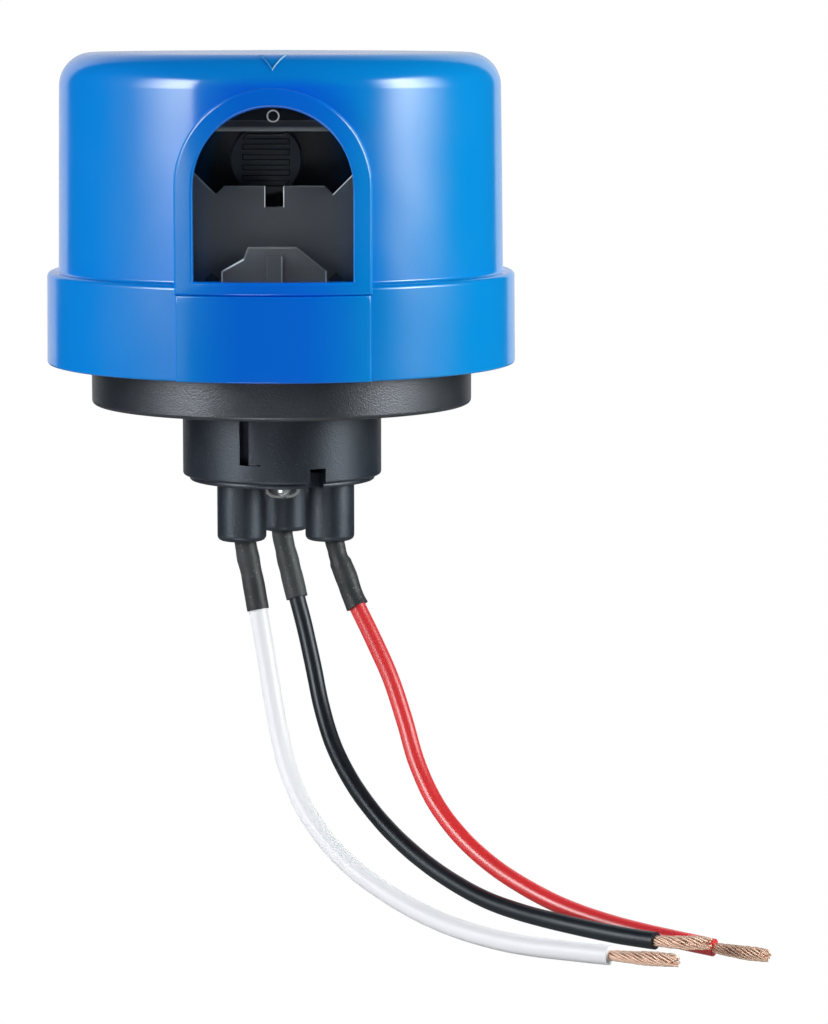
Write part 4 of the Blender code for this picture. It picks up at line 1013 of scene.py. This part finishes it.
# %% [markdown]
# ## The sensor
#
# The sensor is a ceramic disc under a clear coat, with a dark track that winds across its face. The
# track could be a texture, but a few thin bars laid on the disc read better at a low angle.

# %% Sensor disc
SENSOR_CENTRE = Vector((-0.0015, -0.0260, 0.042386))
SENSOR_RADIUS = 0.0059
SENSOR_THICKNESS = 0.0024
LEG_RADIUS = 0.0004
LEG_SPREAD = 0.0017
LEG_LENGTH = 0.0225
LEG_MIDDLE = 0.02975

sensor_bm = turned(
    ((0.0, 0.0), (SENSOR_RADIUS, 0.0), (SENSOR_RADIUS, -SENSOR_THICKNESS), (0.0, -SENSOR_THICKNESS)),
    ((1, 0.0005, 4), (2, 0.0003, 2)), steps=64,
)
bmesh.ops.transform(
    sensor_bm, verts=sensor_bm.verts[:], matrix=Matrix.Translation(SENSOR_CENTRE) @ STAND_UP
)
for side in (-1, 1):
    leg_place = (
        SENSOR_CENTRE.x + side * LEG_SPREAD, SENSOR_CENTRE.y + SENSOR_THICKNESS / 2, LEG_MIDDLE
    )
    bmesh.ops.create_cone(
        sensor_bm, segments=12, radius1=LEG_RADIUS, radius2=LEG_RADIUS, depth=LEG_LENGTH, cap_ends=True,
        matrix=Matrix.Translation(leg_place),
    )
sensor = finish_mesh("sensor_disc", sensor_bm)
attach(sensor, "photocell")
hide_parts("photocell_sensor")

TRACK_ROWS = 11
TRACK_PITCH = 0.00084
TRACK_HALF = 0.0038
TRACK_CIRCLE = 0.0052
TRACK_WIRE = 0.00021
TRACK_PROUD = 0.00004
track_points = []
for row in range(TRACK_ROWS):
    height = (row - (TRACK_ROWS - 1) / 2) * TRACK_PITCH
    reach = min(TRACK_HALF, math.sqrt(TRACK_CIRCLE ** 2 - height ** 2))
    ends = [(-reach, height), (reach, height)]
    track_points += ends if row % 2 == 0 else ends[::-1]
track_places = [SENSOR_CENTRE + Vector((x, -TRACK_PROUD, z)) for x, z in track_points]
track = tube("sensor_track", track_places, TRACK_WIRE, rings=2)
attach(track, "photocell")
print("track rows:", TRACK_ROWS)

# %% [markdown]
# ## Shared effects
#
# Three effects come back in nearly every finish: the fine grain of a moulding, the slow drift of
# gloss where a surface was handled, and small pale specks. Each is a node group with named inputs,
# built once. The groups put out only values that change over the surface.

# %% Node groups
def group(name, inputs, outputs):
    """An empty node group with float or vector inputs and float outputs."""
    tree = bpy.data.node_groups.new(name, "ShaderNodeTree")
    for socket, kind, value in inputs:
        made = tree.interface.new_socket(socket, in_out="INPUT", socket_type=kind)
        if value is not None:
            made.default_value = value
    for socket in outputs:
        tree.interface.new_socket(socket, in_out="OUTPUT", socket_type="NodeSocketFloat")
    return tree, tree.nodes.new("NodeGroupInput"), tree.nodes.new("NodeGroupOutput")


def math_node(tree, operation, first, second):
    """A math node fed by sockets or by plain numbers."""
    node = tree.nodes.new("ShaderNodeMath")
    node.operation = operation
    for socket, value in zip(node.inputs, (first, second)):
        if isinstance(value, (int, float)):
            socket.default_value = value
        else:
            tree.links.new(value, socket)
    return node.outputs["Value"]


def noise_node(tree, vector, scale, detail=2.0, roughness=0.5):
    """Soft noise on a position."""
    node = tree.nodes.new("ShaderNodeTexNoise")
    node.inputs["Detail"].default_value = detail
    node.inputs["Roughness"].default_value = roughness
    tree.links.new(vector, node.inputs["Vector"])
    if isinstance(scale, (int, float)):
        node.inputs["Scale"].default_value = scale
    else:
        tree.links.new(scale, node.inputs["Scale"])
    return node.outputs["Fac"]


def range_node(tree, value, low, high, to_low=0.0, to_high=1.0):
    """Stretch a value from one range to another, and clamp it."""
    node = tree.nodes.new("ShaderNodeMapRange")
    tree.links.new(value, node.inputs["Value"])
    for socket, number in (
        ("From Min", low), ("From Max", high), ("To Min", to_low), ("To Max", to_high),
    ):
        node.inputs[socket].default_value = number
    return node.outputs["Result"]


def object_place(tree):
    """The position in the object's own coordinates."""
    return tree.nodes.new("ShaderNodeTexCoord").outputs["Object"]


def split(tree, vector):
    """The X, Y and Z of a vector."""
    node = tree.nodes.new("ShaderNodeSeparateXYZ")
    tree.links.new(vector, node.inputs["Vector"])
    return node.outputs


def mix_shaders(tree, mask, first, second):
    """Mix two shaders by a mask."""
    node = tree.nodes.new("ShaderNodeMixShader")
    tree.links.new(mask, node.inputs["Fac"])
    tree.links.new(first, node.inputs[1])
    tree.links.new(second, node.inputs[2])
    return node.outputs["Shader"]


grain, given, made = group(
    "moulded grain",
    [("Vector", "NodeSocketVector", None), ("Scale", "NodeSocketFloat", 2500.0)], ["Height"],
)
coarse = noise_node(grain, given.outputs["Vector"], given.outputs["Scale"], 3.0, 0.6)
cells = grain.nodes.new("ShaderNodeTexVoronoi")
grain.links.new(given.outputs["Vector"], cells.inputs["Vector"])
grain.links.new(given.outputs["Scale"], cells.inputs["Scale"])
pits = range_node(grain, cells.outputs["Distance"], 0.0, 0.6)
grain.links.new(math_node(grain, "MULTIPLY", coarse, pits), made.inputs["Height"])

handling, given, made = group(
    "handling",
    [("Vector", "NodeSocketVector", None), ("Scale", "NodeSocketFloat", 60.0)], ["Smudge", "Scratch"],
)
patches = noise_node(handling, given.outputs["Vector"], given.outputs["Scale"], 4.0, 0.6)
handling.links.new(range_node(handling, patches, 0.42, 0.68), made.inputs["Smudge"])
stretched = handling.nodes.new("ShaderNodeMapping")
stretched.inputs["Scale"].default_value = (1.0, 1.0, 0.06)
stretched.inputs["Rotation"].default_value = (0.3, 0.5, 0.2)
handling.links.new(given.outputs["Vector"], stretched.inputs["Vector"])
streaks = noise_node(handling, stretched.outputs["Vector"], 1800.0, 1.0)
fine_marks = range_node(handling, streaks, 0.70, 0.76)
handling.links.new(
    math_node(handling, "MULTIPLY", fine_marks, range_node(handling, patches, 0.5, 0.6)),
    made.inputs["Scratch"],
)

specks, given, made = group(
    "specks",
    [("Vector", "NodeSocketVector", None), ("Scale", "NodeSocketFloat", 3000.0),
     ("Amount", "NodeSocketFloat", 0.1)], ["Mask"],
)
dots = specks.nodes.new("ShaderNodeTexVoronoi")
specks.links.new(given.outputs["Vector"], dots.inputs["Vector"])
specks.links.new(given.outputs["Scale"], dots.inputs["Scale"])
chance_here = specks.nodes.new("ShaderNodeSeparateColor")
specks.links.new(dots.outputs["Color"], chance_here.inputs["Color"])
near = math_node(specks, "LESS_THAN", dots.outputs["Distance"], 0.32)
picked = math_node(specks, "LESS_THAN", chance_here.outputs["Red"], given.outputs["Amount"])
specks.links.new(math_node(specks, "MULTIPLY", near, picked), made.inputs["Mask"])
print("groups:", grain.name, handling.name, specks.name)

# %% [markdown]
# ## Moulded plastics
#
# Every plastic here is a Principled shader with the same chain: two close shades drift into each
# other, specks lighten a few spots, handling drifts the roughness, and the grain drives a bump. Shine,
# index and tint set how strong the gloss is and its colour. One function builds the chain, and each
# finish passes its own numbers, in a maker's words.

# %% Plastic finishes
def place_group(tree, kind, vector, **values):
    """Put a shared group into a material, fed by a position and its own values."""
    node = tree.nodes.new("ShaderNodeGroup")
    node.node_tree = kind
    tree.links.new(vector, node.inputs["Vector"])
    for socket, value in values.items():
        node.inputs[socket].default_value = value
    return node


def mix_colours(tree, mask, first, second):
    """Mix two colours by a mask; each is a colour or a socket."""
    node = tree.nodes.new("ShaderNodeMix")
    node.data_type = "RGBA"
    tree.links.new(mask, node.inputs["Factor"])
    for socket, value in ((node.inputs[6], first), (node.inputs[7], second)):
        if isinstance(value, tuple):
            socket.default_value = (*value, 1.0)
        else:
            tree.links.new(value, socket)
    return node.outputs[2]


def new_material(name):
    """A new material, its node tree and its Principled shader."""
    material = bpy.data.materials.new(name)
    material.use_nodes = True
    return material, material.node_tree, material.node_tree.nodes["Principled BSDF"]


def bump(tree, shader, height, distance, strength):
    """Drive the shader's normal from a height."""
    node = tree.nodes.new("ShaderNodeBump")
    node.inputs["Distance"].default_value = distance
    node.inputs["Strength"].default_value = strength
    tree.links.new(height, node.inputs["Height"])
    tree.links.new(node.outputs["Normal"], shader.inputs["Normal"])


def plastic(
    name, colour, drift, roughness, grain_scale=2500.0, grain_depth=0.00002, speck=0.0, speck_colour=None,
    speck_scale=3000.0, shine=0.5, index=1.5, gloss_tint=(1.0, 1.0, 1.0),
):
    """A moulded plastic: shades, specks, handling and grain on a Principled shader."""
    material, tree, shader = new_material(name)
    place = object_place(tree)
    touched = place_group(tree, handling, place)
    moulded = place_group(tree, grain, place, Scale=grain_scale)
    shades = mix_colours(tree, touched.outputs["Smudge"], colour, drift)
    if speck:
        spotted = place_group(tree, specks, place, Amount=speck, Scale=speck_scale)
        shades = mix_colours(tree, spotted.outputs["Mask"], shades, speck_colour)
    tree.links.new(shades, shader.inputs["Base Color"])
    tree.links.new(
        range_node(tree, touched.outputs["Smudge"], 0.0, 1.0, roughness - 0.03, roughness + 0.04),
        shader.inputs["Roughness"],
    )
    bump(tree, shader, moulded.outputs["Height"], grain_depth, 0.5)
    shader.inputs["Specular IOR Level"].default_value = shine
    shader.inputs["IOR"].default_value = index
    shader.inputs["Specular Tint"].default_value = (*gloss_tint, 1.0)
    material.diffuse_color = (*colour, 1.0)
    return material


finishes = {
    "cap": plastic(
        "blue_gloss", (0.0, 0.148, 0.765), (0.0, 0.153, 0.785), 0.17, 900.0, 0.000002, shine=1.0
    ),
    # Painted highlights for the V mark's bars, strong on the right and faint on the left.
    "mark_painted_highlight": plastic("mark_painted_highlight", (0.36, 0.66, 0.90), (0.30, 0.60, 0.86), 0.2, 900.0, 0.000002),
    "mark_faint_painted_highlight": plastic("mark_faint_painted_highlight", (0.05, 0.30, 0.72), (0.04, 0.27, 0.70), 0.2, 900.0, 0.000002),
    "moulding": plastic(
        "black_satin_moulding", (0.005, 0.008, 0.015), (0.011, 0.015, 0.023), 0.39, 3600.0, 0.00006,
        0.08, (0.060, 0.065, 0.075), shine=1.0, index=1.72, gloss_tint=(0.78, 0.87, 1.0),
    ),
    "dusty": plastic(
        "black_dusty_moulding", (0.005, 0.007, 0.012), (0.009, 0.011, 0.017), 0.37, 3600.0, 0.00006,
        0.14, (0.10, 0.11, 0.125), 4400.0, shine=1.0, index=1.9, gloss_tint=(0.86, 0.92, 1.0),
    ),
    "inner": plastic(
        "inner_black", (0.007, 0.009, 0.013), (0.010, 0.012, 0.017), 0.42, 2600.0, 0.00001, shine=0.3
    ),
    "baffle": plastic(
        "baffle_black", (0.066, 0.069, 0.077), (0.054, 0.057, 0.065), 0.42, 400.0, 0.00001
    ),
    # Painted highlights for glinting edges: near-white where the glint is strong, grey where it is faint.
    "painted_edge_glint": plastic("painted_edge_glint", (0.90, 0.91, 0.92), (0.80, 0.81, 0.83), 0.25, 2600.0, 0.00001),
    "faint_painted_edge_glint": plastic("faint_painted_edge_glint", (0.15, 0.155, 0.165), (0.20, 0.21, 0.22), 0.35, 2600.0, 0.00001),
    "sleeve": plastic(
        "shrink_sleeve", (0.030, 0.033, 0.037), (0.056, 0.060, 0.066), 0.50, 1800.0, 0.00010,
        0.05, (0.20, 0.205, 0.21),
    ),
    "white": plastic("white_insulation", (0.92, 0.90, 0.95), (0.90, 0.89, 0.94), 0.38, 700.0, 0.0000015),
    "black": plastic(
        "black_insulation", (0.008, 0.011, 0.015), (0.012, 0.015, 0.020), 0.38, 700.0, 0.0000015,
        shine=0.8, gloss_tint=(0.85, 0.93, 1.0),
    ),
    "red": plastic(
        "red_insulation", (0.80, 0.034, 0.038), (0.74, 0.028, 0.032), 0.34, 700.0, 0.0000015, shine=1.0,
        index=1.6,
    ),
    "foam": plastic("grey_foam", (0.075, 0.075, 0.08), (0.10, 0.10, 0.105), 0.9, 1300.0, 0.0002),
    "laminate": plastic("board_laminate", (0.012, 0.12, 0.04), (0.02, 0.16, 0.055), 0.38, 900.0, 0.00001),
    "relay": plastic("relay_case", (0.012, 0.07, 0.32), (0.016, 0.09, 0.38), 0.35, 2000.0, 0.00001),
    "film": plastic("film_case", (0.58, 0.38, 0.05), (0.64, 0.44, 0.07), 0.35, 2000.0, 0.00001),
    "can": plastic("can_sleeve", (0.012, 0.012, 0.03), (0.018, 0.018, 0.045), 0.25, 2000.0, 0.000005),
    "disc": plastic("coated_disc", (0.02, 0.09, 0.36), (0.03, 0.12, 0.44), 0.4, 700.0, 0.00006),
    "resistor": plastic("resistor_coat", (0.42, 0.28, 0.15), (0.48, 0.33, 0.19), 0.5, 1500.0, 0.00002),
    "ceramic": plastic("sensor_face", (0.036, 0.040, 0.048), (0.050, 0.054, 0.062), 0.35, 900.0, 0.00001),
    "track": plastic("sensor_track", (0.005, 0.006, 0.008), (0.008, 0.009, 0.011), 0.35, 900.0, 0.00001),
}

print("plastic finishes:", len(finishes))

# %% [markdown]
# ## Painted light on the cap
#
# Off a strip down its front, the cap's blue is painted greener and lighter, most of all on the right:
# this is painted light where the side lamps fall, and the front strip reads as deeper, painted shade.
# A lamp of another colour would tint the white parts as well, so the light is painted on the cap
# instead. It follows the place on the cap, and turns with it.

# %% Painted shade down the front, painted light on the right
FRONT_EDGE = (0.0000224, 0.000208)
FRONT_DEPTH = (-0.033, -0.028)
FRONT_TOP = (0.0544, 0.0560)
RIGHT_SIDE = (0.005, 0.030)

tree = finishes["cap"].node_tree
cap_base = tree.nodes["Principled BSDF"].inputs["Base Color"]
x, y, z = split(tree, object_place(tree))
# Painted light: off a strip down the front, the blue is painted greener and lighter, most on the right.
aside = range_node(tree, math_node(tree, "MULTIPLY", x, x), *FRONT_EDGE)
off_front = math_node(tree, "MAXIMUM", range_node(tree, y, *FRONT_DEPTH), range_node(tree, z, *FRONT_TOP))
painted_light_mask = math_node(tree, "ADD", aside, off_front)
painted_side_light = mix_colours(tree, range_node(tree, x, *RIGHT_SIDE), (0.0, 0.222, 0.725), (0.0, 0.270, 0.740))
tree.links.new(mix_colours(tree, painted_light_mask, cap_base.links[0].from_socket, painted_side_light), cap_base)
print("shades on the cap:", cap_base.links[0].from_node.name)

# %% [markdown]
# ## Metals and the clear pane
#
# Brass, plated steel and copper are metallic shaders whose tint and roughness drift. The pane is
# glass to the eye, but a lamp's light has to pass straight through it to reach the parts behind, so
# a transparent shader takes over for shadow rays.

# %% Metal and clear finishes
def metal(name, colour, drift, roughness, scale=400.0, metallic=1.0):
    """A bare metal: tint and roughness drift, and fine marks run across it."""
    material, tree, shader = new_material(name)
    place = object_place(tree)
    touched = place_group(tree, handling, place, Scale=scale)
    shades = mix_colours(tree, touched.outputs["Smudge"], colour, drift)
    tree.links.new(shades, shader.inputs["Base Color"])
    rough = range_node(tree, touched.outputs["Smudge"], 0.0, 1.0, roughness - 0.05, roughness + 0.1)
    tree.links.new(
        math_node(tree, "ADD", rough, math_node(tree, "MULTIPLY", touched.outputs["Scratch"], 0.15)),
        shader.inputs["Roughness"],
    )
    moulded = place_group(tree, grain, place, Scale=5000.0)
    bump(tree, shader, moulded.outputs["Height"], 0.000008, 0.4)
    shader.inputs["Metallic"].default_value = metallic
    material.diffuse_color = (*colour, 1.0)
    return material


def clear(name, tint, roughness, index, haze=0.0):
    """A clear moulding that lets lamps shine through, with a little haze in it."""
    material, tree, shader = new_material(name)
    shader.inputs["Transmission Weight"].default_value = 1.0 - haze
    shader.inputs["IOR"].default_value = index
    touched = place_group(tree, handling, object_place(tree), Scale=90.0)
    cloudy = mix_colours(tree, touched.outputs["Smudge"], tint, tuple(0.96 * part for part in tint))
    tree.links.new(cloudy, shader.inputs["Base Color"])
    tree.links.new(
        range_node(tree, touched.outputs["Smudge"], 0.0, 1.0, roughness, roughness + 0.03),
        shader.inputs["Roughness"],
    )
    through = tree.nodes.new("ShaderNodeBsdfTransparent")
    through.inputs["Color"].default_value = (*tint, 1.0)
    path = tree.nodes.new("ShaderNodeLightPath")
    mixed = mix_shaders(
        tree, path.outputs["Is Shadow Ray"], shader.outputs["BSDF"], through.outputs["BSDF"]
    )
    tree.links.new(mixed, tree.nodes["Material Output"].inputs["Surface"])
    return material


finishes["brass"] = metal("brass", (0.70, 0.50, 0.20), (0.62, 0.42, 0.16), 0.30)
finishes["steel"] = metal("plated_steel", (0.95, 0.95, 0.96), (0.90, 0.90, 0.92), 0.15, 400.0, 0.8)
finishes["copper"] = metal("bare_copper", (0.93, 0.66, 0.52), (0.88, 0.57, 0.43), 0.42, 900.0, 0.5)
finishes["pane"] = clear("clear_pane", (0.94, 0.96, 0.97), 0.01, 1.25)
finishes["latch"] = clear("clear_latch", (0.92, 0.93, 0.94), 0.06, 1.35, 0.05)
print("all finishes:", len(finishes))

# %% [markdown]
# ## Finishes on the pieces
#
# Each new piece takes its finish here. The receptacle's flange is dustier than its neck, so its faces
# take a second finish by their height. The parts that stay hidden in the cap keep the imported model's
# own meshes: their shapes are right, so only their material slots change.

# %% Give each piece its finish
DUST_FOOT = -0.0002


def dress(piece, *names):
    """Give a piece its finishes, the main one first."""
    for finish in names:
        piece.data.materials.append(finishes[finish])


dress(cap, "cap", "mark_painted_highlight", "mark_faint_painted_highlight")
dress(pane, "pane")
dress(latch, "latch", "painted_edge_glint", "faint_painted_edge_glint", "inner", "baffle")
dress(baffle, "baffle", "painted_edge_glint", "faint_painted_edge_glint")
dress(hood, "inner", "painted_edge_glint", "faint_painted_edge_glint", "baffle")
dress(sensor, "ceramic")
dress(track, "track")
for face in receptacle.data.polygons:
    face.material_index = 1 if face.center.z > DUST_FOOT else 0
dress(receptacle, "moulding", "dusty")
dress(guide, "moulding")
dress(screw, "steel")
for colour in LEAD_ROUTES:
    dress(leads[colour], colour)
    dress(sleeves[colour], "sleeve")
    dress(bare_ends[colour], "copper")

NODE_FINISHES = {
    "gasket": "foam", "base_plate": "inner", "circuit_board": "laminate", "relay": "relay",
    "film_capacitor": "film", "smoothing_capacitor": "can", "surge_disc": "disc",
    "dropper_resistor": "resistor", "diode_1": "inner", "diode_2": "inner", "diode_3": "inner",
    "board_screw_1": "steel", "board_screw_2": "steel", "board_screw_3": "steel",
    "contact_line": "brass", "contact_load": "brass", "contact_neutral": "brass",
    "blade_line": "brass", "blade_load": "brass", "blade_neutral": "brass",
    "rivet_line": "brass", "rivet_load": "brass", "rivet_neutral": "brass",
}
for node, finish in NODE_FINISHES.items():
    for slot_of_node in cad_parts[node].material_slots:
        slot_of_node.material = finishes[finish]
print("nodes dressed:", len(NODE_FINISHES))

# %% [markdown]
# ## Floor, backdrop and light
#
# The photograph has a clean white ground and soft side light. The ground could be lit until it is
# white, but that would burn out the white lead. So the floor, backdrop and world turn plain white
# only where the camera sees them, the first two through the pane too, and the lamps stay at a plain
# level. The gloss of the pieces mirrors a backdrop that darkens as it rises, as a lit wall does.

# %% Floor and backdrop
def ramp(tree, value, stops):
    """A brightness that follows a value through stops of position and brightness."""
    node = tree.nodes.new("ShaderNodeValToRGB")
    tree.links.new(value, node.inputs["Fac"])
    elements = node.color_ramp.elements
    for position, brightness in stops[1:-1]:
        elements.new(position).color = (brightness, brightness, brightness, 1.0)
    for element, (position, brightness) in ((elements[0], stops[0]), (elements[-1], stops[-1])):
        element.position = position
        element.color = (brightness, brightness, brightness, 1.0)
    return node.outputs["Color"]


def ground_material(name, mirror_stops=None):
    """Diffuse for light, white for the camera, clear from behind; mirrors see stops up its height."""
    material, tree, shader = new_material(name)
    tree.nodes.remove(shader)
    matt = tree.nodes.new("ShaderNodeBsdfDiffuse")
    matt.inputs["Color"].default_value = (0.18, 0.18, 0.18, 1.0)
    glow = tree.nodes.new("ShaderNodeEmission")
    path = tree.nodes.new("ShaderNodeLightPath").outputs
    seen = math_node(tree, "MAXIMUM", path["Is Camera Ray"], path["Is Transmission Ray"])
    if mirror_stops:
        height = range_node(tree, split(tree, object_place(tree))["Z"], BACKDROP_FOOT, BACKDROP_TOP)
        in_gloss = math_node(tree, "MULTIPLY", ramp(tree, height, mirror_stops), path["Is Glossy Ray"])
        tree.links.new(math_node(tree, "MAXIMUM", in_gloss, seen), glow.inputs["Strength"])
        seen = math_node(tree, "MAXIMUM", seen, path["Is Glossy Ray"])
    front = mix_shaders(tree, seen, matt.outputs["BSDF"], glow.outputs["Emission"])
    through = tree.nodes.new("ShaderNodeBsdfTransparent")
    geometry = tree.nodes.new("ShaderNodeNewGeometry")
    surface = mix_shaders(tree, geometry.outputs["Backfacing"], front, through.outputs["BSDF"])
    tree.links.new(surface, tree.nodes["Material Output"].inputs["Surface"])
    return material


FLOOR_HEIGHT = -0.25
FLOOR_RADIUS = 1.2
BACKDROP_FOOT, BACKDROP_TOP = -0.25, 4.75
BACKDROP_PLACE = (-0.2, 2.0, (BACKDROP_FOOT + BACKDROP_TOP) / 2)
BACKDROP_HALF = 1.4
BACKDROP_STOPS = ((0.0, 0.75), (0.25, 0.75), (0.45, 0.35), (0.75, 0.15), (1.0, 0.0))
floor_bm = bmesh.new()
bmesh.ops.create_circle(floor_bm, cap_ends=True, segments=96, radius=FLOOR_RADIUS)
bmesh.ops.translate(floor_bm, verts=floor_bm.verts[:], vec=(0, 0, FLOOR_HEIGHT))
floor = plain_object("floor", floor_bm)
floor.data.materials.append(ground_material("floor_white"))
floor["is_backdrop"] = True

backdrop_bm = bmesh.new()
bmesh.ops.create_grid(
    backdrop_bm, x_segments=1, y_segments=1, size=1.0,
    matrix=Matrix.Translation(BACKDROP_PLACE)
    @ Matrix.Diagonal((BACKDROP_HALF, 1, (BACKDROP_TOP - BACKDROP_FOOT) / 2, 1)) @ STAND_UP,
)
backdrop = plain_object("backdrop", backdrop_bm)
backdrop.data.materials.append(ground_material("backdrop_white", BACKDROP_STOPS))
backdrop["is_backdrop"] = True
print("backdrop faces the camera:", backdrop.data.polygons[0].normal.y < 0)

world = bpy.data.worlds.new("studio")
bpy.context.scene.world = world
world.use_nodes = True
tree = world.node_tree
dim = tree.nodes["Background"]
dim.inputs["Color"].default_value = (0.70, 0.88, 1.0, 1.0)
dim.inputs["Strength"].default_value = 0.03
bright = tree.nodes.new("ShaderNodeBackground")
bright.inputs["Color"].default_value = (1.0, 1.0, 1.0, 1.0)
path = tree.nodes.new("ShaderNodeLightPath")
surroundings = mix_shaders(
    tree, path.outputs["Is Camera Ray"], dim.outputs["Background"], bright.outputs["Background"]
)
tree.links.new(surroundings, tree.nodes["World Output"].inputs["Surface"])
print("floor at", FLOOR_HEIGHT)

# %% [markdown]
# ## Soft lamps that fade
#
# The pale bands on the dome are the mirror image of two tall soft lamps. Each is brightest over its
# upper half and fades towards its outer side and its foot, as cloth over a bulb does. A plain lamp
# would give flat bands with hard ends, so each lamp's glow runs through two ramps, one across it and
# one up it. Three broad fills, at the sides and behind, even the light without a mirror image of
# their own, and a small low one shows in the gloss of the parts below. The camera sees no lamp.

# %% Lamps
LAMP_AIM = Vector((0.0, 0.0, 0.05))


def direction(azimuth, elevation=0.0):
    """The direction at an angle from the camera's side and an angle above the level."""
    side, rise = math.radians(azimuth), math.radians(elevation)
    return Vector((math.sin(side) * math.cos(rise), -math.cos(side) * math.cos(rise), math.sin(rise)))


def new_lamp(name, shape, outward, distance, lift=0.0):
    """An area lamp at a distance, hidden from the camera, that faces back along its direction."""
    data = bpy.data.lights.new(name, "AREA")
    data.shape = shape
    lamp = add_object(name, data)
    lamp.location = LAMP_AIM + distance * outward + Vector((0, 0, lift))
    lamp.rotation_euler = (-outward).to_track_quat("-Z", "Y").to_euler()
    lamp.visible_camera = False
    return lamp


def softbox(name, azimuth, distance, width, low, high, radiance, sideways, upwards):
    """An upright area lamp with ramps across and up it."""
    lamp = new_lamp(name, "RECTANGLE", direction(azimuth), distance, (high + low) / 2)
    lamp.data.size, lamp.data.size_y = width, high - low
    lamp.data.energy = radiance * math.pi * width * (high - low)
    lamp.data.use_nodes = True
    tree = lamp.data.node_tree
    spot = split(tree, tree.nodes.new("ShaderNodeNewGeometry").outputs["Parametric"])
    glow = math_node(tree, "MULTIPLY", ramp(tree, spot["X"], sideways), ramp(tree, spot["Y"], upwards))
    tree.links.new(glow, tree.nodes["Emission"].inputs["Strength"])


UPWARDS = (
    (0.0, 0.015), (0.2145, 0.05), (0.2377, 0.07), (0.27, 0.16), (0.289, 0.215), (0.309, 0.30),
    (0.341, 0.62), (0.373, 1.0), (0.85, 1.0), (1.0, 0.4),
)
softbox(
    "left softbox", -65.5, 1.0, 0.83, -0.25, 0.56, 9.0,
    ((0.0, 0.0), (0.16, 0.0), (0.25, 0.05), (0.36, 0.20), (0.46, 0.40), (0.56, 0.62), (0.66, 0.86),
     (0.75, 1.0), (1.0, 1.0)), UPWARDS,
)
softbox(
    "right softbox", 76.0, 1.0, 1.02, -0.25, 0.56, 10.6,
    ((0.0, 0.0), (0.06, 0.08), (0.1, 0.16), (0.19, 0.52), (0.28, 0.88), (0.35, 1.0), (0.42, 0.96),
     (0.52, 0.72), (0.61, 0.50), (0.71, 0.27), (0.84, 0.07), (0.92, 0.0), (1.0, 0.0)), UPWARDS,
)


def fill(name, azimuth, elevation, distance, size, level, tint=(1.0, 1.0, 1.0), seen_in_gloss=False):
    """A broad square lamp that evens the light, given by the level it lends a surface facing it."""
    lamp = new_lamp(name, "SQUARE", direction(azimuth, elevation), distance)
    lamp.data.size = size
    lamp.data.energy = level * (math.pi * distance) ** 2
    lamp.data.color = tint
    lamp.visible_glossy = lamp.visible_transmission = seen_in_gloss


fill("left fill", -79.0, 12.0, 1.3, 0.8, 0.56, (0.95, 1.02, 1.0))
fill("right fill", 80.0, 12.0, 1.3, 0.8, 0.54, (0.88, 1.10, 0.98))
fill("low fill", -12.0, -38.0, 0.4, 0.12, 0.08, seen_in_gloss=True)
fill("back fill", 175.0, 25.0, 1.4, 0.8, 0.8)
bpy.context.scene.view_settings.view_transform = "Standard"

# %% Write the sizes
low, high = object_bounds()
print("visual size in mm:", [round(1000 * side, 1) for side in high - low])
